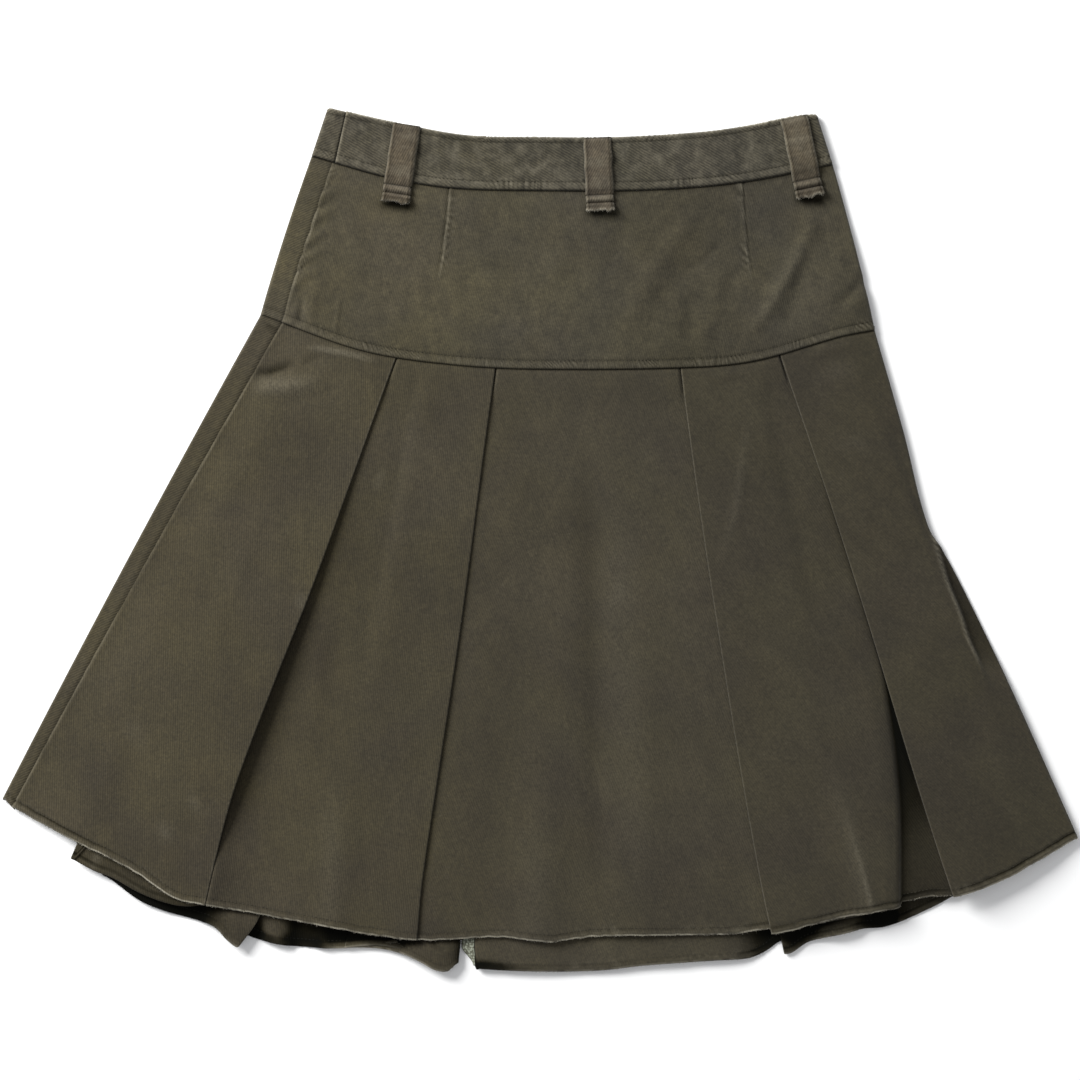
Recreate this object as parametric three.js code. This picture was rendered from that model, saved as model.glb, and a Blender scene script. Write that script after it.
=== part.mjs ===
// Pleated chino skirt in garment-dyed cotton twill, laid flat on its back with the front up.
// Millimetres, +Z up, +Y towards the waist, +X towards the right-hand side of the laid-out front.
// Places are given by x, from the middle of the laid-out width, and by drop, down from the waist at
// the centre front. The whole tube is turned a little to the right as it lies: the left side seam
// shows on top, just inside the left edge, and the right side seam is underneath.
import * as THREE from "three";

// Cloth
const CLOTH = 1.0; // one layer of twill
const BAND_CLOTH = 2.0; // waistband, doubled over its interlining
const STRAP_CLOTH = 1.6; // belt loop, folded in three
const SEAM_GAP = 0.3; // between pieces at a seam
const REST_GAP = 0.4; // air between the back and the front that lies on it

// Layers of a pleat, from middle of cloth to middle of cloth
const PITCH_AT_SEAM = 1.2;
const PITCH_AT_HEM = 1.5;

// A layer reaches its new height this far clear of the fold that it passes over or under
const CLEAR = 2;

// Height of the middle of the front yoke at its two edges
const YOKE_HEIGHT_AT_BAND = 2.6;
const YOKE_HEIGHT_AT_SKIRT = 5.4;

// The front, whose right side wraps under by this much, and the belt loops
const RIGHT_WRAP = 14;
const LOOP_WIDTH = 20.5;
const LOOP_ARCH = 1.2;
const LOOP_TACK = 0.78; // share of the loop's length at which it is tacked down to the yoke
const LOOP_END_LIFT = 1.0;

// The back's waist edge stays a little below the front's
const BACK_TOP_INSET = 0.6;

const BAND_STATIONS = 4;
const YOKE_STATIONS = 6;
const SKIRT_STATIONS = 11;
const LOOP_STATIONS = 12;
const FOLD_STEPS = 3;
const EDGE_STEPS = 5;

// Seams that run across the skirt
const TOP_EDGE = [
  { x: -162, drop: -23 },
  { x: -114, drop: -12 },
  { x: -57, drop: -1.5 },
  { x: 0, drop: 0 },
  { x: 60, drop: 0 },
  { x: 125, drop: -4 },
  { x: 160, drop: -9 },
  { x: 194, drop: -16 },
  { x: 211, drop: -17.5 },
];
const BAND_SEAM = [
  { x: -174, drop: 13.5 },
  { x: -118, drop: 29.5 },
  { x: -68, drop: 38 },
  { x: 0, drop: 40 },
  { x: 84, drop: 39.5 },
  { x: 155, drop: 33.5 },
  { x: 223, drop: 20 },
];
const YOKE_SEAM = [
  { x: -213, drop: 134.5 },
  { x: -137, drop: 162 },
  { x: -68, drop: 173 },
  { x: 0, drop: 176.5 },
  { x: 122, drop: 175 },
  { x: 167, drop: 169.5 },
  { x: 228, drop: 152 },
  { x: 255, drop: 146.5 },
];
const FRONT_HEM = [
  { x: -410, drop: 505 },
  { x: -353, drop: 535 },
  { x: -309, drop: 557 },
  { x: -279, drop: 577 },
  { x: -254, drop: 583 },
  { x: -181, drop: 596 },
  { x: -94, drop: 610 },
  { x: -30, drop: 608 },
  { x: 8, drop: 611.5 },
  { x: 43, drop: 607.5 },
  { x: 176, drop: 604 },
  { x: 230, drop: 592 },
  { x: 268, drop: 586 },
  { x: 313, drop: 577 },
  { x: 350, drop: 564.5 },
  { x: 410, drop: 532 },
];
const BACK_HEM = [
  { x: -410, drop: 503 },
  { x: -357, drop: 533 },
  { x: -331, drop: 562 },
  { x: -279, drop: 590.5 },
  { x: -229, drop: 612 },
  { x: -149, drop: 617 },
  { x: -104, drop: 621.5 },
  { x: -72, drop: 634 },
  { x: 0, drop: 634.5 },
  { x: 137, drop: 626 },
  { x: 186, drop: 618 },
  { x: 261, drop: 601 },
  { x: 315, drop: 574 },
  { x: 410, drop: 530 },
];

// Where the two side seams of the skirt end at the hem
const LEFT_SEAM_DROP = 510.5;
const RIGHT_SEAM_DROP = 539;

// Outline of the laid-out tube and its left side seam, at each level seam and at the hem
const SIDES = {
  band: { left: [-162, -174], seam: [-147.5, -156], right: [211, 223], bow: 0 },
  yoke: { left: [-174, -213], seam: [-158, -196.5], right: [223, 255], bow: 1.2 },
  skirt: { left: [-213, -409.6], seam: [-196.5, -402], bow: 2 },
};
// The right edge of the skirt falls straight, then flares where the last pleat panel springs out
const RIGHT_FLARE = [
  { down: 0, x: 255 },
  { down: 0.2, x: 277 },
  { down: 0.385, x: 295.5 },
  { down: 0.45, x: 310.5 },
  { down: 0.53, x: 326.5 },
  { down: 0.67, x: 352.5 },
  { down: 0.81, x: 377 },
  { down: 1, x: 409.6 },
];

// Knife pleats. fold is the edge that lies on top, inner the edge hidden in the pleat.
const FRONT_PLEATS = {
  farLeft: { fold: [-109.5, -254], inner: [-168, -357], innerDrop: 548, bow: -4 },
  left: { fold: [-34, -93.5], inner: [-79, -160], innerDrop: 606, bow: 3 },
  right: { fold: [107, 175.5], inner: [157, 251], innerDrop: 590, bow: -4 },
  farRight: { fold: [182.5, 313], inner: [228, 376], innerDrop: 552, bow: 2 },
};
const BACK_PLEATS = {
  farLeft: { fold: [-122, -331], inner: [-91, -229], innerDrop: 615.5, bow: 0 },
  left: { fold: [-49, -149], inner: [-19, -62], innerDrop: 628, bow: 0 },
  right: { fold: [122, 274], inner: [91, 186], innerDrop: 621.5, bow: 0 },
  farRight: { fold: [195, 382], inner: [160, 318], innerDrop: 570, bow: 0 },
};
// Where the front's right pleat panel slumps down beside the far right fold, near the hem
const SLUMP = { line: [178, 274], width: 7 };

const BELT_LOOPS = [
  { name: "belt_loop_left", topX: -101.5, topDrop: -6.5, endX: -110, endDrop: 49.5 },
  { name: "belt_loop_centre", topX: 43.5, topDrop: 3, endX: 46, endDrop: 56 },
  { name: "belt_loop_right", topX: 193.5, topDrop: -12, endX: 205.5, endDrop: 45.5 },
];

const twill = new THREE.MeshStandardMaterial({ color: 0x4a4437, roughness: 0.93, metalness: 0 });
const wornTwill = new THREE.MeshStandardMaterial({ color: 0x54483a, roughness: 0.93, metalness: 0 });

const lerp = (a, b, t) => a + (b - a) * t;

// A smooth curve through the rows of a table: the value column over the key column.
function curveThrough(rows, key, value) {
  const slope = rows.map((_, i) => {
    const a = rows[Math.max(i - 1, 0)];
    const b = rows[Math.min(i + 1, rows.length - 1)];
    return (b[value] - a[value]) / (b[key] - a[key]);
  });
  return (at) => {
    let i = rows.findIndex((row) => row[key] > at) - 1;
    if (i === -2) i = rows.length - 2;
    i = Math.max(i, 0);
    const span = rows[i + 1][key] - rows[i][key];
    const t = Math.min(Math.max((at - rows[i][key]) / span, 0), 1);
    const rise = rows[i + 1][value] - rows[i][value];
    const ease = t * t * (3 - 2 * t);
    return (
      rows[i][value] + rise * ease + span * t * (1 - t) * ((1 - t) * slope[i] - t * slope[i + 1])
    );
  };
}

const topEdge = curveThrough(TOP_EDGE, "x", "drop");
const bandSeam = curveThrough(BAND_SEAM, "x", "drop");
const yokeSeam = curveThrough(YOKE_SEAM, "x", "drop");
const frontHem = curveThrough(FRONT_HEM, "x", "drop");
const backHem = curveThrough(BACK_HEM, "x", "drop");
const rightFlare = curveThrough(RIGHT_FLARE, "down", "x");

// Heights of the middle of the cloth, as functions of how far down the piece they are, 0 to 1
const pitch = (t) => lerp(PITCH_AT_SEAM, PITCH_AT_HEM, t);
const backLayer = (level) => (t) => CLOTH / 2 + level * pitch(t);
const frontLayer = (level) => (t) => backLayer(2)(t) + CLOTH + REST_GAP + level * pitch(t);
const floorOf = (wall) => () => wall / 2;

// Lines that run down a piece: x as a function of how far down
const line = ([top, bottom], bow = 0) => (t) => lerp(top, bottom, t) + bow * 4 * t * (1 - t);
const between = (a, b, share) => (t) => lerp(a(t), b(t), share);
const beside = (a, offset) => (t) => a(t) + offset;

// A piece's section is a walk across it. Each stop is a place on a line and at a height: a "run"
// lays the cloth there, and a "fold" turns it over to the height of the next run. A fold's line is
// where the outside of the fold reaches, and it points to the left (-1) or right (+1).
const run = (x, height, drop) => ({ x, height, drop });
const fold = (x, from, to, points, drop, steps = FOLD_STEPS) => ({
  x, from, to, points, drop, steps,
});

// The walk's places and outward directions at one station.
function sectionAt(walk, t, wall, firstFace) {
  const places = [];
  let face = firstFace;
  for (const stop of walk) {
    if (!stop.points) {
      places.push({ x: stop.x(t), z: stop.height(t), nx: 0, nz: face, stop });
      continue;
    }
    const high = Math.max(stop.from(t), stop.to(t));
    const low = Math.min(stop.from(t), stop.to(t));
    const radius = (high - low) / 2;
    const middle = stop.x(t) - stop.points * (radius + wall / 2);
    const falls = stop.from(t) > stop.to(t);
    const side = falls ? face : -face;
    for (let i = 0; i <= stop.steps; i++) {
      const turn = Math.PI * (i / stop.steps - 0.5) * (falls ? -1 : 1);
      const cos = Math.cos(turn) * stop.points;
      const sin = Math.sin(turn);
      places.push({
        x: middle + radius * cos,
        z: (high + low) / 2 + radius * sin,
        nx: side * cos,
        nz: side * sin,
        stop,
      });
    }
    face = -face;
  }
  return places;
}

// A closed wall of cloth through the stations of a walk, from its upper seam down to its lower one.
function clothWall(piece) {
  const { walk, wall, stations, upper, lower, firstFace } = piece;
  const tops = sectionAt(walk, 0, wall, firstFace).map(({ x }) => upper(x) + SEAM_GAP / 2);
  const bottoms = sectionAt(walk, 1, wall, firstFace).map(
    ({ x, stop }) => (stop.drop ?? lower(x)) - SEAM_GAP / 2,
  );
  const rows = [];
  for (let j = 0; j <= stations; j++) {
    const t = j / stations;
    const section = sectionAt(walk, t, wall, firstFace);
    rows.push(section.map((place, k) => ({ ...place, y: -lerp(tops[k], bottoms[k], t) })));
  }
  const across = rows[0].length;
  const positions = [];
  for (const side of [1, -1]) {
    for (const row of rows) {
      for (const p of row) {
        positions.push(p.x + (side * p.nx * wall) / 2, p.y, p.z + (side * p.nz * wall) / 2);
      }
    }
  }
  const outer = (i, j) => j * across + i;
  const inner = (i, j) => (rows.length + j) * across + i;
  const faces = [];
  const quad = (a, b, c, d) => faces.push(a, b, c, a, c, d);
  for (let j = 0; j < stations; j++) {
    for (let i = 0; i < across - 1; i++) {
      quad(outer(i, j), outer(i, j + 1), outer(i + 1, j + 1), outer(i + 1, j));
      quad(inner(i, j), inner(i + 1, j), inner(i + 1, j + 1), inner(i, j + 1));
    }
    quad(outer(0, j), inner(0, j), inner(0, j + 1), outer(0, j + 1));
    const end = across - 1;
    quad(outer(end, j), outer(end, j + 1), inner(end, j + 1), inner(end, j));
  }
  for (let i = 0; i < across - 1; i++) {
    quad(outer(i, 0), outer(i + 1, 0), inner(i + 1, 0), inner(i, 0));
    quad(outer(i, stations), inner(i, stations), inner(i + 1, stations), outer(i + 1, stations));
  }
  // A walk that sets out to the left is wound the other way round
  const setsOutLeft = walk[1].x(0) < walk[0].x(0);
  if (setsOutLeft === (firstFace > 0)) {
    for (let k = 0; k < faces.length; k += 3) {
      [faces[k + 1], faces[k + 2]] = [faces[k + 2], faces[k + 1]];
    }
  }
  const geometry = new THREE.BufferGeometry();
  geometry.setAttribute("position", new THREE.Float32BufferAttribute(positions, 3));
  geometry.setIndex(faces);
  geometry.computeVertexNormals();
  return geometry;
}

// Evenly spaced runs strictly between two lines, at heights eased from one layer to another.
function runsBetween(a, b, count, fromHeight, toHeight, drops = []) {
  return Array.from({ length: count }, (_, k) => {
    const share = (k + 1) / (count + 1);
    const ease = share * share * (3 - 2 * share);
    const height = (t) => lerp(fromHeight(t), toHeight(t), ease);
    const drop = drops.length ? lerp(drops[0], drops[1], share) : undefined;
    return run(between(a, b, share), height, drop);
  });
}

// The front of the waistband or yoke: from the left side seam, across, round the right edge and
// back underneath as far as the right side seam.
function frontPanel(sides, wall, height, count) {
  const left = beside(line(sides.seam, -sides.bow), SEAM_GAP / 2);
  const right = line(sides.right, sides.bow);
  const floor = floorOf(wall);
  return [
    run(left, height),
    ...runsBetween(left, right, count, height, height),
    fold(right, height, floor, 1, undefined, EDGE_STEPS),
    run(beside(right, SEAM_GAP / 2 - RIGHT_WRAP), floor),
  ];
}

// The back of the waistband or yoke: from the left side seam on top, round the left edge and
// across underneath to the right side seam.
function backPanel(sides, wall, height, count) {
  const seam = beside(line(sides.seam, -sides.bow), -SEAM_GAP / 2);
  const left = line(sides.left, -sides.bow);
  const right = beside(line(sides.right, sides.bow), -RIGHT_WRAP - SEAM_GAP / 2);
  const floor = floorOf(wall);
  return [
    run(seam, height),
    fold(left, height, floor, -1, undefined, EDGE_STEPS),
    ...runsBetween(left, right, count, floor, floor),
    run(right, floor),
  ];
}

// The front of the skirt. Its pleats face the middle: the far left fold lies over the left panel,
// that over the centre panel, and the two on the right are laid the other way.
function frontSkirtWalk() {
  const sides = SIDES.skirt;
  const { farLeft, left, right, farRight } = FRONT_PLEATS;
  const edgeHeight = frontLayer(0.5);
  const [low, mid, top] = [0, 1, 2].map(frontLayer);
  const seam = beside(line(sides.seam, -sides.bow), SEAM_GAP / 2);
  const foldOf = (pleat) => line(pleat.fold, pleat.bow);
  const innerOf = (pleat) => line(pleat.inner, pleat.bow);
  const hemAt = (pleat) => frontHem(pleat.fold[1]);
  const slump = line(SLUMP.line);

  return [
    run(seam, edgeHeight, LEFT_SEAM_DROP),
    run(beside(innerOf(farLeft), -CLEAR), top),
    ...runsBetween(innerOf(farLeft), foldOf(farLeft), 3, top, top),
    fold(foldOf(farLeft), top, mid, 1),
    ...runsBetween(foldOf(farLeft), innerOf(farLeft), 2, mid, mid, [hemAt(farLeft), farLeft.innerDrop]),
    fold(innerOf(farLeft), mid, low, -1, farLeft.innerDrop),
    ...runsBetween(innerOf(farLeft), foldOf(farLeft), 2, low, low, [farLeft.innerDrop, hemAt(farLeft)]),
    run(beside(foldOf(farLeft), CLEAR), low),
    ...runsBetween(foldOf(farLeft), innerOf(left), 2, low, top),
    run(beside(innerOf(left), -CLEAR), top),
    ...runsBetween(innerOf(left), foldOf(left), 2, top, top),
    fold(foldOf(left), top, mid, 1),
    ...runsBetween(foldOf(left), innerOf(left), 1, mid, mid),
    fold(innerOf(left), mid, low, -1, left.innerDrop),
    ...runsBetween(innerOf(left), foldOf(left), 1, low, low),
    run(beside(foldOf(left), CLEAR), low),
    ...runsBetween(foldOf(left), foldOf(right), 5, low, low),
    run(beside(foldOf(right), -CLEAR), low),
    ...runsBetween(foldOf(right), innerOf(right), 1, low, low),
    fold(innerOf(right), low, mid, 1, right.innerDrop),
    ...runsBetween(innerOf(right), foldOf(right), 1, mid, mid),
    fold(foldOf(right), mid, top, -1),
    ...runsBetween(foldOf(right), innerOf(right), 2, top, top),
    run(innerOf(right), top),
    run(beside(slump, -SLUMP.width), frontLayer(1.7)),
    run(slump, low),
    ...runsBetween(foldOf(farRight), innerOf(farRight), 2, low, low),
    fold(innerOf(farRight), low, mid, 1, farRight.innerDrop),
    ...runsBetween(innerOf(farRight), foldOf(farRight), 1, mid, mid),
    fold(foldOf(farRight), mid, top, -1),
    ...runsBetween(foldOf(farRight), innerOf(farRight), 2, top, top),
    run(beside(innerOf(farRight), CLEAR), top),
    ...runsBetween(innerOf(farRight), rightFlare, 1, top, edgeHeight),
    fold(rightFlare, edgeHeight, backLayer(0), 1, undefined, EDGE_STEPS),
    run(beside(rightFlare, SEAM_GAP / 2 - RIGHT_WRAP), backLayer(0), RIGHT_SEAM_DROP),
  ];
}

// The back of the skirt, outside down. Its pleats face away from the middle, so that the hidden
// edges lie uppermost, inside the skirt.
function backSkirtWalk() {
  const sides = SIDES.skirt;
  const { farLeft, left, right, farRight } = BACK_PLEATS;
  const [low, mid, top] = [0, 1, 2].map(backLayer);
  const seam = beside(line(sides.seam, -sides.bow), -SEAM_GAP / 2);
  const leftEdge = line(sides.left, -sides.bow);
  const rightEnd = beside(rightFlare, -RIGHT_WRAP - SEAM_GAP / 2);
  const foldOf = (pleat) => line(pleat.fold, pleat.bow);
  const innerOf = (pleat) => line(pleat.inner, pleat.bow);

  return [
    run(seam, frontLayer(0.5), LEFT_SEAM_DROP),
    fold(leftEdge, frontLayer(0.5), low, -1, undefined, EDGE_STEPS),
    ...runsBetween(leftEdge, foldOf(farLeft), 3, low, low),
    run(beside(foldOf(farLeft), -CLEAR), top),
    ...runsBetween(foldOf(farLeft), innerOf(farLeft), 2, top, top),
    fold(innerOf(farLeft), top, mid, 1, farLeft.innerDrop),
    ...runsBetween(innerOf(farLeft), foldOf(farLeft), 2, mid, mid),
    fold(foldOf(farLeft), mid, low, -1),
    ...runsBetween(foldOf(farLeft), innerOf(farLeft), 2, low, low),
    run(beside(innerOf(farLeft), CLEAR), low),
    ...runsBetween(innerOf(farLeft), foldOf(left), 1, low, top),
    run(beside(foldOf(left), -CLEAR), top),
    ...runsBetween(foldOf(left), innerOf(left), 1, top, top),
    fold(innerOf(left), top, mid, 1, left.innerDrop),
    ...runsBetween(innerOf(left), foldOf(left), 1, mid, mid),
    fold(foldOf(left), mid, low, -1),
    ...runsBetween(foldOf(left), foldOf(right), 6, low, low),
    fold(foldOf(right), low, mid, 1),
    ...runsBetween(foldOf(right), innerOf(right), 1, mid, mid),
    fold(innerOf(right), mid, top, -1, right.innerDrop),
    ...runsBetween(innerOf(right), foldOf(right), 1, top, top),
    run(beside(foldOf(right), CLEAR), top),
    ...runsBetween(foldOf(right), innerOf(farRight), 1, top, low),
    run(beside(innerOf(farRight), -CLEAR), low),
    ...runsBetween(innerOf(farRight), foldOf(farRight), 2, low, low),
    fold(foldOf(farRight), low, mid, 1),
    ...runsBetween(foldOf(farRight), innerOf(farRight), 1, mid, mid),
    fold(innerOf(farRight), mid, top, -1, farRight.innerDrop),
    ...runsBetween(innerOf(farRight), foldOf(farRight), 1, top, top),
    run(beside(foldOf(farRight), CLEAR), top),
    run(rightEnd, low, RIGHT_SEAM_DROP),
  ];
}

// A belt loop lies on the waistband, arches over it and is tacked down to the yoke below the band.
// It is made upright, with its top end at the origin, and then placed.
function beltLoop(length) {
  const onBand = 2 * BAND_CLOTH + REST_GAP + SEAM_GAP + STRAP_CLOTH / 2;
  const onYoke = YOKE_HEIGHT_AT_BAND + CLOTH / 2 + SEAM_GAP + STRAP_CLOTH / 2;
  const height = (t) => {
    if (t < LOOP_TACK) {
      const along = t / LOOP_TACK;
      return lerp(onBand, onYoke + 1, along ** 6) + LOOP_ARCH * Math.sin(Math.PI * along);
    }
    return onYoke + 1 + LOOP_END_LIFT * ((t - LOOP_TACK) / (1 - LOOP_TACK)) ** 2;
  };
  const half = LOOP_WIDTH / 2;
  return clothWall({
    walk: [-half, 0, half].map((x) => run(() => x, height)),
    wall: STRAP_CLOTH,
    stations: LOOP_STATIONS,
    upper: () => 0,
    lower: () => length,
    firstFace: 1,
  });
}

const bandHeight = () => 1.5 * BAND_CLOTH + REST_GAP;
const yokeHeight = (t) => lerp(YOKE_HEIGHT_AT_BAND, YOKE_HEIGHT_AT_SKIRT, t);
const insetTop = (x) => topEdge(x) + BACK_TOP_INSET;
const level = { firstFace: 1 };

const PIECES = {
  front_waistband: {
    ...level, wall: BAND_CLOTH, stations: BAND_STATIONS, upper: topEdge, lower: bandSeam,
    walk: frontPanel(SIDES.band, BAND_CLOTH, bandHeight, 16),
  },
  back_waistband: {
    ...level, wall: BAND_CLOTH, stations: BAND_STATIONS, upper: insetTop, lower: bandSeam,
    walk: backPanel(SIDES.band, BAND_CLOTH, bandHeight, 16),
  },
  front_yoke: {
    ...level, wall: CLOTH, stations: YOKE_STATIONS, upper: bandSeam, lower: yokeSeam,
    walk: frontPanel(SIDES.yoke, CLOTH, yokeHeight, 18),
  },
  back_yoke: {
    ...level, wall: CLOTH, stations: YOKE_STATIONS, upper: bandSeam, lower: yokeSeam,
    walk: backPanel(SIDES.yoke, CLOTH, yokeHeight, 18),
  },
  front_skirt: {
    ...level, wall: CLOTH, stations: SKIRT_STATIONS, upper: yokeSeam, lower: frontHem,
    walk: frontSkirtWalk(),
  },
  back_skirt: {
    ...level, wall: CLOTH, stations: SKIRT_STATIONS, upper: yokeSeam, lower: backHem,
    walk: backSkirtWalk(),
  },
};

const skirt = new THREE.Group();
for (const [name, piece] of Object.entries(PIECES)) {
  const mesh = new THREE.Mesh(clothWall(piece), twill);
  mesh.name = name;
  skirt.add(mesh);
}
for (const { name, topX, topDrop, endX, endDrop } of BELT_LOOPS) {
  const across = endX - topX;
  const down = endDrop - topDrop;
  const mesh = new THREE.Mesh(beltLoop(Math.hypot(across, down)), wornTwill);
  mesh.name = name;
  mesh.position.set(topX, -topDrop, 0);
  mesh.rotation.z = Math.atan2(across, down);
  skirt.add(mesh);
}

// The reference point is the middle of the outline, on the surface the skirt lies on.
const extent = new THREE.Box3().setFromObject(skirt);
const middle = extent.getCenter(new THREE.Vector3());
skirt.position.set(-middle.x, -middle.y, 0);

export default skirt;
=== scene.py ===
"""Pleated chino skirt, laid flat with its front up: the looks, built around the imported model.

Tables and cloth are worked out in millimetres, and meshes are written in metres. Places are given by
x, from the middle of the laid-out width, and by drop, down from the waist at the centre front.
"""

import math
from dataclasses import dataclass
from typing import Callable

import bpy
import numpy as np
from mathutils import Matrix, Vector


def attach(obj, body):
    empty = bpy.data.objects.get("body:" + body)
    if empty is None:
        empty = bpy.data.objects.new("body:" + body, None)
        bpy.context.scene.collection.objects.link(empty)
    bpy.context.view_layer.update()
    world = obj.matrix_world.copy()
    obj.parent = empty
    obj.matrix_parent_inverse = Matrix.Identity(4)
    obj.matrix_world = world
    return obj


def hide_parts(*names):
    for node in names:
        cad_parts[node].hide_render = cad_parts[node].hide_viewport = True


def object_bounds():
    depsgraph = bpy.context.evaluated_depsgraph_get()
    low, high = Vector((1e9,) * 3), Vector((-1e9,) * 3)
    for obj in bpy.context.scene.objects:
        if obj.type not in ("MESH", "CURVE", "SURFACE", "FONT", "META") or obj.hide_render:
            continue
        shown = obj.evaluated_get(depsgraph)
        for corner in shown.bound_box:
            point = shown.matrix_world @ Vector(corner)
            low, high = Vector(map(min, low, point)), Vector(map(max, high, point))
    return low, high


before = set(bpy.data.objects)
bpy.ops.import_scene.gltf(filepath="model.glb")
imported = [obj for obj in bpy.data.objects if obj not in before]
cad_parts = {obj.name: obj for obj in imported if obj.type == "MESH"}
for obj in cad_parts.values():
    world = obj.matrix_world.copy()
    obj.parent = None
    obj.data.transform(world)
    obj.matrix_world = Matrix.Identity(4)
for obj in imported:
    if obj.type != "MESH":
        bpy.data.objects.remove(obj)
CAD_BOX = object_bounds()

bl_info = {
    "name": "Pleated chino skirt",
    "version": (1, 0, 0),
    "blender": (4, 5, 0),
    "location": "3D View > Sidebar > Skirt",
    "description": "Builds a knife-pleated twill skirt as it lies on a table",
    "category": "Add Mesh",
}

MM = 0.001

# ---- numbers


def lerp(a, b, t):
    return a + (b - a) * t


def ease(low, high, x):
    """0 below low, 1 above high, smooth between."""
    t = np.clip((x - low) / (high - low), 0, 1)
    return t * t * (3 - 2 * t)


def higher(a, b, softness=0.3):
    """The larger of two heights, rounded where they cross."""
    return (a + b + np.sqrt((a - b) ** 2 + softness**2)) / 2


def bell(distance, width):
    """1 at distance 0, and next to nothing beyond twice the width."""
    return np.exp(-((distance / width) ** 2))


def curve_through(rows):
    """A smooth curve through (key, value) rows, as a function of the key."""
    keys, values = (np.array(column, float) for column in zip(*rows))
    before = np.maximum(np.arange(len(keys)) - 1, 0)
    after = np.minimum(np.arange(len(keys)) + 1, len(keys) - 1)
    slopes = (values[after] - values[before]) / (keys[after] - keys[before])

    def at(key):
        key = np.asarray(key, float)
        i = np.clip(np.searchsorted(keys, key, side="right") - 1, 0, len(keys) - 2)
        span = keys[i + 1] - keys[i]
        t = np.clip((key - keys[i]) / span, 0, 1)
        bend = (1 - t) * slopes[i] - t * slopes[i + 1]
        eased = t * t * (3 - 2 * t)
        return values[i] + (values[i + 1] - values[i]) * eased + span * t * (1 - t) * bend

    return at


def noise(x, y, size, seed):
    """Smooth noise from -1 to 1 whose blobs are about this size across."""
    table = np.random.default_rng(seed).uniform(-1, 1, (64, 64))
    u, v = np.asarray(x) / size + 200.0, np.asarray(y) / size + 200.0
    i, j = np.floor(u).astype(int), np.floor(v).astype(int)
    fu, fv = ease(0, 1, u - i), ease(0, 1, v - j)
    near = lerp(table[i % 64, j % 64], table[(i + 1) % 64, j % 64], fu)
    far = lerp(table[i % 64, (j + 1) % 64], table[(i + 1) % 64, (j + 1) % 64], fu)
    return lerp(near, far, fv)


def ridge(x, drop, points, width):
    """A soft ridge, or a trough, along (x, drop, height) points, or (x, drop) at height 0."""
    total = np.zeros(np.broadcast(x, drop).shape)
    for (x0, d0, *h0), (x1, d1, *h1) in zip(points, points[1:]):
        across, down = x1 - x0, d1 - d0
        along = ((x - x0) * across + (drop - d0) * down) / (across**2 + down**2)
        along = np.clip(along, 0, 1)
        away = np.hypot(x - x0 - along * across, drop - d0 - along * down)
        height = lerp(sum(h0), sum(h1), along) * bell(away, width)
        total = np.where(np.abs(height) > np.abs(total), height, total)
    return total


def creases(x, drop, table):
    return sum(ridge(x, drop, points, width) for points, width in table)


def puckers(x, away, spacing, reach, seed):
    """Little ridges across a row of stitches, -1 to 1, uneven in size, spacing and slant, and dying
    out away from it."""
    slant = 0.5 + 0.9 * noise(x, 0, 7 * spacing, seed + 2)
    phase = 2 * math.pi * (x + slant * away) / spacing + 4.2 * noise(x, 0, 1.9 * spacing, seed)
    size = np.clip(0.45 + 0.8 * noise(x, 0, 5.3 * spacing, seed + 1), 0, 1)
    size = size * (0.7 + 0.3 * noise(x, 0, 1.7 * spacing, seed + 3))
    return np.sin(phase) * size * bell(away, reach)


# ---- the laid-out skirt, as tables

# The waist's top edge climbs this far above its centre front, so the box gives the waist's own place
TOP_EDGE_CLIMB = 22.0
WAIST_Y = CAD_BOX[1].y / MM - TOP_EDGE_CLIMB
HALF_WIDTH = (CAD_BOX[1].x - CAD_BOX[0].x) / 2 / MM

# Edges and seams that run across: (x, drop)
top_edge = curve_through([
    (-162, -23), (-114, -12), (-57, -1.5), (0, 0), (60, 0), (125, -4), (160, -9), (194, -16),
    (211, -17.5),
])
band_seam = curve_through([
    (-174, 13.5), (-118, 29.5), (-68, 38), (0, 40), (84, 39.5), (155, 33.5), (223, 20),
])
yoke_seam = curve_through([
    (-213, 134.5), (-137, 162), (-68, 173), (0, 176.5), (122, 175), (167, 169.5), (228, 152),
    (255, 146.5),
])
smooth_front_hem = curve_through([
    (-410, 505), (-353, 535), (-309, 557), (-279, 577), (-254, 583), (-181, 596), (-94, 610),
    (-30, 608), (8, 611.5), (43, 607.5), (176, 604), (230, 592), (268, 586), (313, 577),
    (350, 564.5), (410, 532),
])
# The front's own pleat shows below its far left fold
underlay_hem = curve_through([
    (-357, 548), (-339, 557.8), (-325, 563), (-305, 574.2), (-285, 581.7), (-269, 584.4),
    (-254, 583),
])
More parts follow.
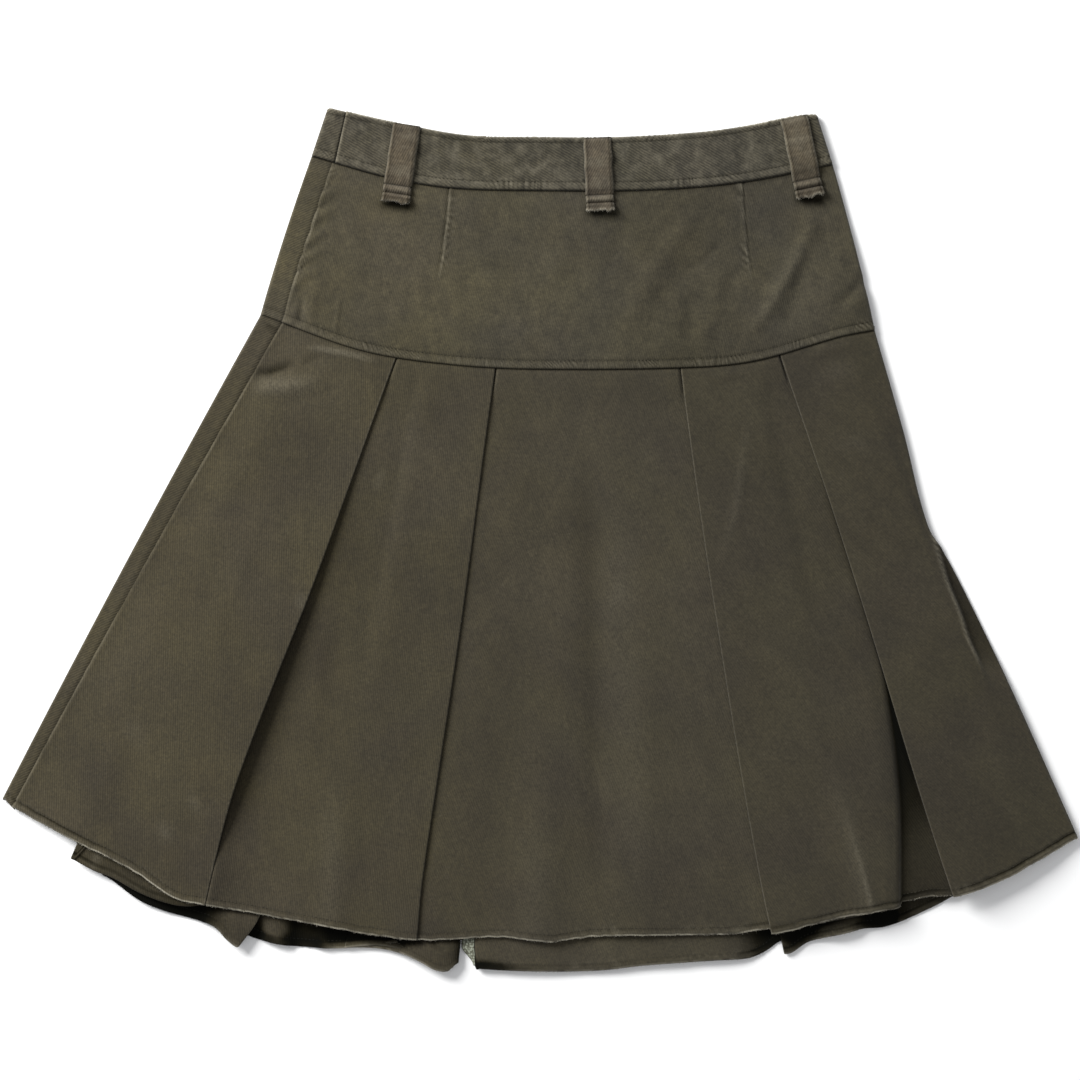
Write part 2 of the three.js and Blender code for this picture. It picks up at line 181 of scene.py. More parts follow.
# The back's hem, where its cloth lies against the front and where it lies on the table: pleats
# part the two
back_top_hem = curve_through([
    (-410, 503), (-357, 533), (-338, 556), (-325, 565.7), (-305, 580.5), (-285, 589), (-269, 593.5),
    (-257, 597), (-246, 601.5), (-239, 609), (-232, 614.8), (-228.5, 615.8), (-167, 617),
    (-126, 617), (-104, 621.5), (-90, 627.5), (-80, 633), (-70, 634), (-62, 628), (186, 621.6),
    (192, 620.5), (203, 613), (216, 609),
    (232, 605.5), (246, 602), (261, 601.2), (277, 596), (299, 586), (315, 577.5), (340, 563),
    (382, 545), (410, 530),
])
back_low_hem = curve_through([
    (-410, 503), (-357, 533), (-331, 562.5), (-279, 584), (-240, 598), (-223, 607.5), (-208, 612),
    (-193, 614.8), (-167, 617), (-149, 617), (-110, 613), (-62, 611), (-52, 613), (-50.6, 614),
    (-49.4, 630.5), (-46, 632.5), (0, 634.6), (44, 634), (80, 630), (137, 626), (159, 624.6),
    (172, 619.5), (183, 612), (230, 598), (318, 564), (382, 545), (410, 530),
])
# Where the two side seams of the skirt end at the hem
LEFT_SEAM_DROP = 510.5
RIGHT_SEAM_DROP = 539

# Outline and left side seam, at each piece's upper and lower edge
SIDES = {
    "band": {"left": (-162, -174), "seam": (-147.5, -156), "right": (211, 223), "bow": 0},
    "yoke": {"left": (-174, -213), "seam": (-158, -196.5), "right": (223, 255), "bow": 1.2},
    "skirt": {"left": (-213, -409.6), "seam": (-196.5, -402), "bow": 2},
}
# The skirt's right edge: (how far down, x)
RIGHT_FLARE = [
    (0, 255), (0.2, 277), (0.385, 295.5), (0.45, 310.5), (0.53, 326.5), (0.67, 352.5),
    (0.81, 377), (1, 409.6),
]
right_flare = curve_through(RIGHT_FLARE)
RIGHT_WRAP = 14

# Knife pleats. fold is the edge that lies on top, inner the edge hidden in the pleat: (at seam, at hem)
# A fold sways either side of its bowed line: (how far down, how far to the right)
FRONT_PLEATS = {
    "far_left": {
        "fold": (-109.5, -254), "inner": (-168, -357), "inner_drop": 548, "bow": -4,
        "fold_sway": [(0, 0), (0.25, 1.5), (0.42, 1.3), (0.6, -2.3), (0.78, -5.4), (0.9, -3.4), (1, 0)],
    },
    "left": {
        "fold": (-34, -93.5), "inner": (-79, -160), "inner_drop": 606, "bow": 3,
        "fold_sway": [(0, 0), (0.15, -1.5), (0.45, -2.3), (0.72, -3.4), (0.9, -3), (1, 0)],
    },
    "right": {
        "fold": (107, 175.5), "inner": (157, 251), "inner_drop": 590, "bow": -4,
        "fold_sway": [(0, 0), (0.5, 0.4), (0.9, -0.6), (1, 0)],
    },
    "far_right": {
        "fold": (182.5, 313), "inner": (228, 376), "inner_drop": 552, "bow": 2,
        "fold_sway": [(0, 0), (0.3, 0.8), (0.5, 0.2), (0.75, -1.4), (0.9, -1.2), (1, 0)],
    },
}
BACK_PLEATS = {
    "far_left": {
        "fold": (-122, -331), "inner": (-91, -229),
        "inner_sway": [(0, 0), (0.8, 2.5), (0.93, 8.4), (0.957, 8), (1, 0)],
    },
    "left": {"fold": (-49, -149), "inner": (-19, -62)},
    "right": {"fold": (122, 274), "inner": (91, 186)},
    "far_right": {"fold": (195, 382), "inner": (160, 318)},
}
# Where the cloth left of the far right fold gives way and drops into the pleat: (how far down, x)
slump_line = curve_through(
    [(0, 200), (0.4, 240), (0.55, 258), (0.69, 268), (0.77, 272), (0.84, 274), (1, 274)]
)

# How far each visible stretch of the front stands off what is under it, at the hem: (place across
# the hem, height)
LOFTS = {
    "A": [(-410, 0.2), (-385, 0.8), (-355, 2.8), (-320, 5.6), (-285, 7.6), (-254, 8.6)],
    "B": [
        (-357, 1.2), (-300, 1.6), (-254, 0.8), (-232, 1.2), (-205, 3), (-178, 5.6), (-160, 6.4),
        (-140, 5.6), (-94, 5),
    ],
    "C": [
        (-160, 3.2), (-94, 2.8), (-62, 2.4), (-30, 2.2), (2, 3.4), (30, 1.5), (62, 3.1), (110, 2.4),
        (160, 1.8), (176, 2.4), (200, 4), (251, 4.4),
    ],
    "D": [(175, 3.2), (200, 4.2), (226, 5), (244, 6.6), (256, 6.3), (268, 5.6), (290, 5), (376, 4)],
    "E": [(313, 7.6), (330, 6.6), (350, 4.8), (376, 2.6), (398, 0.9), (410, 0.2)],
}

# How the back's hem rises and falls where it shows below the front's: (x, height)
back_low_wave = curve_through([
    (-410, 0), (-228, 0), (-214, 0.3), (-204, 3.6), (-194, 3.8), (-185, 0.3), (-174, 0.1),
    (-166, 1.6), (-157, 0.1), (-100, 0.1), (-60, 0.4), (-50.6, 0.6), (-49, 3.2), (-30, 3.4), (0, 3.6),
    (34, 2.2), (56, 3.4), (120, 3.5), (150, 3), (164, 1), (174, 0), (410, 0),
])
back_top_wave = curve_through([
    (-410, 0), (-300, 0), (-264, -1.6), (-254, -0.6), (-245, 3.6), (-229, 4.8), (-160, -1.8),
    (-110, -1.8), (-101, 1.6), (-92, 3.6), (-76, 4.2), (-68, 3.4), (-62, 2), (186, -0.4),
    (204, -1.2), (214, 0.4), (224, 2.8), (238, 2.6), (248, 0), (262, -1.6), (282, -0.6), (300, 0.4),
    (318, 0.6), (410, 0),
])

# How dark the painted shade on the back is where it shows below the front, in the shadow of the front's
# hem: (x, dark beside the front's hem, dark at its own hem, how far down it changes)
BACK_LOW_SHADE = [
    (-410, 1, 1, 0.5), (-216, 1, 1, 0.5), (-211, 0.5, 1, 0.7), (-207, 0.12, 0.85, 0.75),
    (-199, 0.12, 0.75, 0.8), (-194, 0.35, 0.9, 0.6), (-189, 1, 1, 0.5), (-178, 0.8, 0.9, 0.5),
    (-168, 0.9, 1, 0.6), (-160, 1, 0.3, 0.8), (-150, 1, 0, 0.75), (-62, 1, 1, 0.5), (-51, 0.9, 0.8, 0.5),
    (-49, 0, 1, 0.72), (-30, 0, 0.9, 0.78), (-15, 0, 0.6, 0.86), (0, 0, 0.35, 0.9), (130, 0, 0.3, 0.92),
    (150, 0.1, 0.3, 0.9), (158, 0.45, 0.3, 0.5), (166, 0.9, 0.75, 0.5), (174, 1, 0.9, 0.6),
    (180, 1, 1, 0.5), (410, 1, 1, 0.5),
]
BACK_TOP_SHADE = [
    (-410, 1, 1, 0.5), (-256, 1, 1, 0.5), (-249, 0.9, 0.75, 0.5), (-241, 0.35, 0.35, 0.5),
    (-233, 0.08, 0.12, 0.6), (-212, 0.08, 0.12, 0.6), (-200, 0.3, 1, 0.6), (-160, 1, 1, 0.5),
    (-149, 1, 0, 0.74), (-110, 1, 0, 0.7), (-104, 0.95, 0, 0.6), (-97, 0.85, 0.04, 0.35),
    (-88, 0.7, 0.04, 0.2), (-70, 0.6, 0.08, 0.15), (-65, 0.6, 0.4, 0.2), (-62, 0.9, 0.9, 0.3),
    (186, 0.9, 0.5, 0.5), (192, 1, 0.5, 0.78), (200, 1, 0.8, 0.78), (210, 1, 0.5, 0.6),
    (216, 1, 0.1, 0.45), (225, 0.9, 0.06, 0.36), (236, 0.7, 0.15, 0.3), (242, 0.9, 0.5, 0.3),
    (248, 1, 0.9, 0.5), (256, 1, 0.95, 0.5), (268, 1, 0.9, 0.5), (276, 0.8, 0.6, 0.5),
    (283, 0.5, 0.5, 0.5), (296, 0.4, 0.55, 0.5), (310, 0.45, 0.6, 0.5), (330, 0.7, 0.7, 0.5),
    (410, 1, 1, 0.5),
]
# How strongly the front's hem is drawn into a groove by its stay-stitching: (x, strength)
hem_groove = curve_through([
    (-410, 1), (-340, 0.9), (-318, 0.4), (-260, 0.25), (-200, 0.15), (-90, 0.1), (0, 0.15),
    (150, 0.3), (180, 0.9), (270, 0.8), (300, 0.7), (330, 1), (410, 1),
])

# Soft creases, each a line of (x, drop, height) with a width. A height of 0 is left out
SKIRT_CREASES = [
    ([(-219, 181), (-212, 180, -2.2), (-200, 177, -2.1), (-190, 172, -1.1), (-184, 169)], 3.6),
    ([(-222, 194), (-208, 191, 2.3), (-190, 190, 2.2), (-172, 186, 1.2), (-158, 184)], 6.5),
    ([(-182, 173), (-176, 171, -1.2), (-168, 169, -1), (-162, 168)], 2.4),
    ([(-178, 160), (-168, 161, 1.3), (-150, 164, 1.4), (-134, 168, 0.8), (-120, 171)], 2.6),
    ([(-196, 150), (-192, 158, -0.6), (-189, 166)], 3),
    ([(-196, 250), (-215, 300, 0.5), (-246, 372, 0.55), (-262, 420)], 9),
    ([(-300, 420), (-322, 470, 0.5), (-340, 512, 0.3)], 8),
    ([(-232, 470), (-262, 520, -0.5), (-278, 556)], 8),
    ([(-336, 541, 0.3), (-337, 548, 0.5), (-340, 558, 0.5)], 1.2),
    ([(-150, 300), (-166, 380, 0.6), (-176, 460, 0.6), (-186, 520)], 8),
    ([(49, 352), (62, 368, 0.5), (80, 390)], 3.2),
    ([(53, 496), (68, 522, 0.5), (84, 549)], 3.2),
    ([(-12, 430), (-9, 500, 0.4), (-6, 560, 0.7), (-4, 604, 0.9)], 12),
    ([(20, 192), (27, 214, -0.6), (40, 260, -0.9), (43, 350, -1), (45, 470, -1.2), (46, 560, -1.1),
      (46, 604, -0.7)], 10),
    ([(78, 300), (79, 400, 0.5), (80, 500, 0.7), (80, 560, 0.6), (78, 604, 0.5)], 12),
    ([(-40, 300), (-46, 420, 0.35), (-52, 540, 0.3), (-54, 604, 0.2)], 10),
    ([(118, 300), (126, 420, 0.35), (132, 540, 0.4), (134, 600, 0.3)], 12),
    ([(160, 205), (152, 258, 0.6), (149, 284, 0.7), (136, 325)], 4.5),
    ([(120, 183), (136, 182, 0.6), (156, 180, 0.6), (170, 176)], 2.6),
    ([(200, 168), (214, 163, 0.7), (232, 159, 0.7), (242, 158)], 2.6),
    ([(222, 460), (230, 510, 0.8), (243, 550, 1.1), (251, 584, 1.1)], 4.6),
    ([(205, 380), (216, 440, -0.35), (226, 500, -0.3), (232, 560)], 9),
    ([(211, 222), (228, 228, 0.7), (246, 235)], 3),
    ([(262, 300), (292, 380, 0.4), (320, 470, 0.4), (338, 540, 0.2)], 11),
    ([(300, 420), (340, 480, -0.4), (368, 530, -0.2)], 10),
]
# The front's right fold line, outside which the cloth drops to the panel that springs out: (drop, x)
RIGHT_SLIVER = [(302, 299), (340, 310), (352, 315), (365, 320), (381, 325), (394, 331), (430, 346)]
right_sliver = curve_through(RIGHT_SLIVER)
YOKE_CREASES = [
    ([(212, 58), (205, 71, 0.9), (194, 95, 1.7), (184, 112, 1.6), (173, 131, 1.5), (163, 145, 1),
      (153, 153)], 6),
    ([(208, 76), (198, 114, -1.2), (190, 138, -1.2), (182, 148)], 7),
    ([(232, 74), (221, 116, 0.8), (212, 143)], 7),
    ([(248, 104, -0.8), (238, 118, -1.2), (230, 126, -0.6), (222, 133)], 4),
    ([(139, 78), (131, 88, -0.7), (122, 96, -0.8), (109, 103)], 2.6),
    ([(128, 54), (112, 68, 1), (92, 92, 1), (74, 126, 0.6), (64, 140)], 8),
    ([(130, 74), (112, 98, -0.8), (93, 124, -0.9), (86, 152, -0.4), (82, 160)], 8),
    ([(118, 112), (115, 126, -0.7), (112, 150, -0.7), (111, 160)], 6),
    ([(140, 92), (136, 110, 0.7), (130, 146, 0.6), (128, 156)], 7),
    ([(151, 96), (146, 110, -0.6), (140, 130)], 5),
    ([(70, 56), (62, 76, -0.9), (54, 96, -0.6), (50, 106)], 7),
    ([(30, 60), (14, 96, 0.6), (-8, 140)], 8),
    ([(-181, 118), (-181, 128, -1), (-183, 142, -1.1), (-184, 147, -0.4)], 2.6),
    ([(-172, 112), (-173, 128, 0.6), (-175, 144, 0.4)], 4),
    ([(-184, 45), (-176, 47, 0.8), (-164, 46)], 3.5),
    ([(-60, 60), (-40, 90, 0.5), (-28, 130)], 9),
    ([(-152, 118), (-153, 128, 0.5), (-156, 153, 0.5), (-157, 160)], 1.6),
    ([(-148, 52), (-140, 80, 0.6), (-136, 110)], 7),
    ([(-24, 138), (-12, 152, 0.6), (-2, 168, 0.4)], 5),
]
BAND_CREASES = [
    ([(-24, 20), (-17, 27, 0.7), (-12, 20, 0.2)], 1.6),
    ([(-11, 22), (-5, 28, 0.6), (2, 19)], 1.6),
    ([(4, 20), (9, 28, 0.6), (17, 21)], 1.6),
    ([(-136, 6), (-128, 10, 0.7), (-120, 6)], 3),
    ([(86, 22), (100, 14, 0.7), (118, 8)], 3.5),
    ([(104, 30), (120, 22, -0.6), (140, 12)], 4),
    ([(-60, 12), (-30, 14, 0.4), (0, 12)], 5),
    ([(60, 30), (74, 24, 0.5), (90, 27)], 3),
]
# The darts are stitched lines that end in a point: (x, drop) from the band down
DARTS = [
    [(-69.5, 36), (-71.5, 60), (-75, 88), (-79.5, 112)],
    [(154.5, 31), (156, 56), (158.5, 84), (162.5, 112)],
]
# pale is how much of the undyed yarn shows at a loop's raw end; the less, the darker the painted shade in
# and under that end
LOOPS = {
    "belt_loop_left": {"top": (-101, -9.3), "end": (-110, 49.5), "pale": 0.3},
    "belt_loop_centre": {"top": (43.4, 0.5), "end": (46, 56), "pale": 0.7},
    "belt_loop_right": {"top": (193, -15), "end": (205.5, 45.5), "pale": 0.45},
}

# Rows of stitches, in from the edge that each follows. The hem's stay-stitching draws in a groove
BAND_UPPER_STITCH, BAND_LOWER_STITCH, YOKE_STITCH = 3.8, 6.2, 6.6
HEM_STITCH, STAY_STITCH = 5.4, 4.4
# Along a belt loop, as shares of its length: its bar tack, the fold below it, and the crease after
TACK, STRAP_FOLD, STRAP_CREASE = 0.78, 0.835, 0.885

# Slant of the twill's ribs on each piece, in degrees from the x axis
RIB_SLANT = {
    "loop": 62, "A": 89, "B": 97, "C": 112, "D": 124, "E": 136, "band": -30, "strip": 24, "yoke": 106,
    "underlay": 97, "inside": 100, "flap": 97,
}
# How strongly the ribs show: where the cloth has faded most
RIB_DEPTH = {"A": 0.8, "strip": 0.6, "band": 1.0, "loop": 0.7, "yoke": 0.35}


def front_hem(x):
    """The front's raw hem, a little uneven where single yarns have come away."""
    return smooth_front_hem(x) + 0.32 * noise(x, 0, 5.5, 14) + 0.2 * noise(x, 0, 2.9, 15)


def off_sliver(x, drop):
    """How far outside the front's right fold line a place is."""
    return x - right_sliver(np.clip(drop, RIGHT_SLIVER[0][0], RIGHT_SLIVER[-1][0]))


# ---- sizes and colours


def linear(hex_colour):
    """An sRGB hex colour as linear red, green and blue."""
    channels = [int(hex_colour[i : i + 2], 16) / 255 for i in (1, 3, 5)]
    return tuple(c / 12.92 if c <= 0.04045 else ((c + 0.055) / 1.055) ** 2.4 for c in channels)


def length(name, description, default):
    return bpy.props.FloatProperty(
        name=name, description=description, default=default, min=0, unit="LENGTH", precision=5
    )


def colour(name, description, default):
    return bpy.props.FloatVectorProperty(
        name=name, description=description, default=linear(default), subtype="COLOR", min=0, max=1
    )


class SkirtSizes(bpy.types.PropertyGroup):
    cloth: length("Twill", "Thickness of one layer of the washed twill", 0.8 * MM)
    band_cloth: length("Waistband", "Thickness of the doubled and interlined waistband", 2.0 * MM)
    strap_cloth: length("Strap", "Thickness of a belt loop, folded in three", 1.6 * MM)
    loop_width: length("Belt loop width", "Width of a belt loop", 20.5 * MM)
    pitch_at_seam: length("Pleat pitch at seam", "From layer to layer where pleats are sewn", 0.95 * MM)
    pitch_at_hem: length("Pleat pitch at hem", "From layer to layer at the hem", 1.1 * MM)
    stitch: length("Stitch", "Length of one topstitch", 2.5 * MM)
    thread: length("Thread", "Thickness of the topstitching thread", 0.42 * MM)
    fray: length("Fray", "Longest loose yarn at the raw hem", 2.6 * MM)
    rib: length("Twill rib", "From rib to rib of the twill, as drawn", 1.7 * MM)
    slack: bpy.props.FloatProperty(
        name="Slack",
        description="How far the skirt's panels stand up off each other towards the hem",
        default=1.0,
        min=0,
        max=1.2,
        subtype="FACTOR",
    )


class SkirtColours(bpy.types.PropertyGroup):
    faded: colour("Faded", "Twill where washing has faded it", "#383325")
    dyed: colour("Dyed", "Twill that has kept more of its dye", "#2f2a1f")
    # Painted shade: the near-black that folds, gaps, seam lines and the back's strip below the front are
    # painted towards, and the dark of stitch grooves and bar tacks
    shade_and_dye: colour("Hollow", "Unfaded twill beside stitches and in folds", "#0e0e0b")
    worn: colour("Worn", "Fold edges and seams rubbed pale", "#6e6858")
    raw: colour("Raw edge", "Loose undyed-hearted yarn at raw edges", "#a8a290")
    strap: colour("Strap", "Belt loops, browner than the skirt", "#4c4437")
    thread: colour("Thread", "Topstitching", "#2b281f")
    overlock: colour("Overlock", "Seam allowance whitened by overlocking", "#8c9080")
    floor: colour("Floor", "Matt paper that the skirt lies on", "#fbfbfa")


def settings():
    scene = bpy.context.scene
    return scene.skirt_sizes, scene.skirt_colours


# ---- materials


def add(tree, kind, settings=None, inputs=None):
    """Adds a shader node: settings are its own properties, and inputs are numbers, vectors, colours of
    three numbers or the sockets that feed it."""
    made = tree.nodes.new("ShaderNode" + kind)
    for name, value in (settings or {}).items():
        setattr(made, name, value)
    for name, value in (inputs or {}).items():
        socket = made.inputs[name]
        if isinstance(value, bpy.types.NodeSocket):
            tree.links.new(value, socket)
        else:
            socket.default_value = (*value, 1) if socket.type == "RGBA" else value
    return made


def new_material(name):
    material = bpy.data.materials.get(name) or bpy.data.materials.new(name)
    material.use_nodes = True
    material.node_tree.nodes.clear()
    return material, material.node_tree


def twill(name, contrast, mottling, faded, dyed, coarse=1.0):
    """Garment-dyed cotton twill: slanting ribs, a dry matt face with a little fuzz, dye that washed out in
    clouds, painted shade that darkens it in folds, gaps and under the hems, and yarn rubbed pale along
    every fold and edge."""
    sizes, colours = settings()
    material, tree = new_material(name)
    grain = add(tree, "UVMap", {"uv_map": "grain"}).outputs["UV"]
    place = add(tree, "TexCoord").outputs["Object"]
    side = add(tree, "SeparateXYZ", {}, {"Vector": place}).outputs["X"]
    wear_and_shade = add(tree, "Attribute", {"attribute_name": "wear_and_shade"})
    # The vertex colour holds rubbed wear, painted shade, raw yarn, and in its alpha how strongly the ribs
    # show
    worn, shade_and_dye, raw = add(tree, "SeparateColor", {}, {"Color": wear_and_shade.outputs["Color"]}).outputs
    # Ribs break up into short lengths, where warp yarns slub and fade unevenly. Long faint streaks
    # follow the warp too, where rolls and creases rubbed in the wash
    short, long = (
        add(tree, "Mapping", {}, {"Vector": grain, "Scale": (1.0, stretch, 1.0)}).outputs[0]
        for stretch in (0.24, 0.12)
    )
    # Real ribs are about 0.8 mm apart: they are drawn twice as coarse, so that they can be seen
    ribs_per_unit = 2 * math.pi / (20 * sizes.rib * coarse)
    inputs = {"Scale": ribs_per_unit, "Distortion": 1.6, "Detail": 2.0, "Detail Scale": 1.6}
    ribs = add(tree, "TexWave", {}, {"Vector": grain, **inputs}).outputs["Fac"]

    # How strongly something shows, from least to most, as its source goes from low to high
    ranges = [
        # The cloth is more olive and warmer on the wearer's right. On the left it lay under the rest,
        # kept its dye and drifts less
        ("olive", side, -0.26, 0.06, 0.5, 0),
        ("calm", side, -0.12, 0.04, 0, 1),
        ("cooler", side, -0.24, 0.06, 0, 1),
        # Where shade is painted, gloss and sheen are turned down with it, so the painted shade stays dark
        ("gloss", shade_and_dye, 0, 0.8, 0.25, 0.02),
        ("fuzz", shade_and_dye, 0, 0.8, 0.12, 0),
    ]
    # What each pattern follows, the size of its blobs in mm, how fine and rough its detail is, and
    # its low, high and most
    seen = {}
    for pattern, vector, size, detail, roughness, low, high, most in (
        ("slubs", short, 1.3, 3, 0.65, 0.28, 0.72, 1),
        ("streaks", long, 9, 3, 0.6, 0.3, 0.7, 1),
        # Single yarns are finer than this: they are drawn 2 mm across, so that they can be seen
        ("yarn", place, 2, 2, 0.7, 0.3, 0.7, 1),
        # Mottling where the cloth was bunched in the dye bath, from a thumb's width to a few yarns
        ("mottle", place, 9, 4, 0.7, 0.3, 0.7, 1),
        ("flecks", place, 2.1, 1, 0.5, 0.6, 0.78, 0.07),
        # Clouds of fading, blotches of brown and green, and a slow drift from olive to taupe
        ("clouds", place, 70, 4, 0.55, 0.32, 0.68, 1),
        ("blotches", place, 30, 2, 0.5, 0.45, 0.75, 0.3),
        ("hue", place, 90, 2, 0.5, 0.36, 0.64, 1),
    ):
        inputs = {"Vector": vector, "Scale": 1 / (size * MM), "Detail": detail, "Roughness": roughness}
        seen[pattern] = add(tree, "TexNoise", {}, inputs).outputs["Fac"]
        ranges.append((pattern, seen[pattern], low, high, 0, most))
    ranges.append(("raised", seen["yarn"], 0.3, 0.6, 0.4, 1))
    shares = {"ribs": ribs}
    for share, source, low, high, least, most in ranges:
        inputs = {"Value": source, "From Min": low, "From Max": high, "To Min": least, "To Max": most}
        shares[share] = add(tree, "MapRange", {}, inputs).outputs["Result"]
    for share, sum_settings, inputs in (
        ("taupe", {"operation": "SUBTRACT", "use_clamp": True}, {0: shares["hue"], 1: shares["olive"]}),
        # Rubbing shows on raised yarns first, so worn places are speckled
        ("rubbed", {"operation": "MULTIPLY"}, {0: worn, 1: shares["raised"]}),
        ("relief", {"operation": "MULTIPLY_ADD"}, {0: ribs, 1: 0.6, 2: seen["slubs"]}),
    ):
        shares[share] = add(tree, "Math", sum_settings, inputs).outputs[0]

    # Tones that the dye is multiplied by. Plain ones go as far below 1 as above it
    depths = {"streaks": 0.07, "slubs": 0.7 * contrast, "yarn": 0.24, "mottle": mottling, "ribs": contrast}
    tones = {
        "olive": ("calm", (1.01, 1.0, 0.85), (1.0, 1.0, 0.93)),
        "taupe": ("calm", (1.0, 0.985, 1.04), (1.0, 0.99, 1.01)),
        "side": ("cooler", (1.024, 1.0, 0.95), (0.995, 1.0, 0.98)),
        **{tone: (tone, (1 - depth,) * 3, (1 + depth,) * 3) for tone, depth in depths.items()},
    }
    mix = {"data_type": "RGBA"}
    for tone, (share, first, second) in tones.items():
        inputs = {0: shares[share], 6: first, 7: second}
        tones[tone] = add(tree, "Mix", mix, inputs).outputs[2]
    inputs = {0: shares["taupe"], 6: tones["olive"], 7: tones["taupe"]}
    drift = add(tree, "Mix", mix, inputs).outputs[2]

    brown = tuple(c * tint for c, tint in zip(faded, (1.1024, 1.06, 0.954)))
    base = dyed
    for blend, share, layer in (
        ("MIX", shares["clouds"], faded),
        ("MIX", shares["blotches"], brown),
        ("MULTIPLY", 1.0, drift),
        *(("MULTIPLY", 1.0, tones[tone]) for tone in ("side", "streaks", "slubs", "yarn", "mottle")),
        ("MIX", shares["flecks"], colours.worn),
        ("MULTIPLY", wear_and_shade.outputs["Alpha"], tones["ribs"]),
        ("MIX", shares["rubbed"], colours.worn),
        ("MIX", raw, colours.raw),
        # Painted shade, mixed towards near-black
        ("MIX", shade_and_dye, colours.shade_and_dye),
    ):
        inputs = {0: share, 6: base, 7: layer}
        base = add(tree, "Mix", {**mix, "blend_type": blend}, inputs).outputs[2]

    inputs = {"Height": shares["relief"], "Strength": 0.55, "Distance": 0.35 * MM}
    bump = add(tree, "Bump", {}, inputs).outputs["Normal"]
    inputs = {"Base Color": base, "Normal": bump, "Roughness": 0.92, "IOR": 1.45, "Sheen Roughness": 0.6}
    inputs |= {"Specular IOR Level": shares["gloss"], "Sheen Weight": shares["fuzz"]}
    shader = add(tree, "BsdfPrincipled", {}, inputs)
    add(tree, "OutputMaterial", {}, {"Surface": shader.outputs[0]})
    return material


def thready(name, pattern, ends, first, second, relief, surface):
    """Thread or yarn in two colours, with painted shade where the green of its vertex colour says so.
    pattern and relief are a texture node's kind and inputs, and relief has a strength and depth."""
    material, tree = new_material(name)
    place = add(tree, "TexCoord").outputs["Object"]
    wear_and_shade = add(tree, "Attribute", {"attribute_name": "wear_and_shade"}).outputs["Color"]
    dark = add(tree, "SeparateColor", {}, {"Color": wear_and_shade}).outputs[1]
    tone = add(tree, pattern[0], {}, {"Vector": place, **pattern[1]}).outputs[0]
    inputs = {"Value": tone, "From Min": ends[0], "From Max": ends[1]}
    share = add(tree, "MapRange", {}, inputs).outputs["Result"]
    base = first
    for factor, layer in ((share, second), (dark, settings()[1].shade_and_dye)):
        inputs = {0: factor, 6: base, 7: layer}
        base = add(tree, "Mix", {"data_type": "RGBA"}, inputs).outputs[2]
    surface = {"Base Color": base, **surface}
    if relief:
        kind, inputs, strength, depth = relief
        height = add(tree, kind, {}, {"Vector": place, **inputs}).outputs[0]
        inputs = {"Height": height, "Strength": strength, "Distance": depth}
        surface["Normal"] = add(tree, "Bump", {}, inputs).outputs["Normal"]
    shader = add(tree, "BsdfPrincipled", {}, surface)
    add(tree, "OutputMaterial", {}, {"Surface": shader.outputs[0]})
    return material


# ---- cloth from its section


@dataclass
class Lay:
    """A stretch of cloth lying between two lines, each x as a function of how far down."""

    start: Callable
    end: Callable
    height: Callable
    panel: str
    spacing: float
    drops: tuple = None
    hem: Callable = None


@dataclass
class Fold:
    """A fold whose outside reaches a line, pointing left (-1) or right (+1)."""

    line: Callable
    points: int
    steps: int = 6
    worn: float = 1.0


@dataclass
class Cloth:
    """The middle surface of a piece: arrays with a row for each station down and a column for each
    place across, and per-column facts."""

    x: np.ndarray
    drop: np.ndarray
    z: np.ndarray
    t: np.ndarray
    to_top: np.ndarray
    to_hem: np.ndarray
    panels: list
    edge: np.ndarray


def line(ends, bow=0):
    return lambda t: lerp(ends[0], ends[1], t) + bow * 4 * t * (1 - t)


def swayed(a, sway):
    offset = curve_through(sway)
    return lambda t: a(t) + offset(t)


def side_line(piece, side):
    """A piece's left side seam, or its left or right outline."""
    bow = SIDES[piece]["bow"]
    return line(SIDES[piece][side], bow if side == "right" else -bow)


def pleat_lines(pleats):
    """Each pleat's fold and inner edge, as lines."""
    straight = [(0, 0), (1, 0)]
    return {
        name: {
            edge: swayed(line(pleat[edge], pleat.get("bow", 0)), pleat.get(edge + "_sway", straight))
            for edge in ("fold", "inner")
        }
        for name, pleat in pleats.items()
    }


def moved(a, by):
    """A line moved sideways, or an edge moved down, by a distance."""
    return lambda t: a(t) + by


def stations(length_mm, top_step, middle_step, hem_step, margin=9, tuck=0, gathers=None):
    """How far down each row lies, 0 to 1, closer together near both edges. A tuck starts above 0,
    and gathers, (depth, step), keeps the rows fairly close for some way below the upper edge."""
    rows = [*np.arange(-tuck, margin, top_step)]
    if gathers:
        rows += [*np.arange(rows[-1] + gathers[1], gathers[0], gathers[1])]
    rows += [*np.arange(rows[-1] + middle_step, length_mm - margin, middle_step)]
    tail = length_mm - rows[-1]
    rows += [*np.linspace(rows[-1] + tail / round(tail / hem_step), length_mm, round(tail / hem_step))]
    return np.array(rows) / length_mm


def spread(lay, start, end, t, share, upper, lower):
    """Places and heights of a stretch of cloth at stations t and shares across it."""
    x = lerp(start(t), end(t), share)
    top = upper(lerp(start(0.0), end(0.0), share))
    if lay.drops:
        bottom = lerp(lay.drops[0], lay.drops[1], share)
    else:
        bottom = (lay.hem or lower)(lerp(start(1.0), end(1.0), share))
    drop = lerp(top, bottom, t)
    return x, drop, lay.height(x, drop, t) + 0 * x, top + 0 * x, bottom + 0 * x


def set_in(fold, before, after, wall, upper, lower):
    """The line where the cloth starts to turn into a fold, set in from where its outside reaches."""
    one, zero = np.array([[1.0]]), np.array([[0.0]])

    def at(t):
        t = np.atleast_1d(np.asarray(t, float)).reshape(-1, 1)
        z0 = spread(before, before.start, fold.line, t, one, upper, lower)[2]
        z1 = spread(after, fold.line, after.end, t, zero, upper, lower)[2]
        return fold.line(t) - fold.points * (np.abs(z0 - z1) / 2 + wall / 2)

    return at


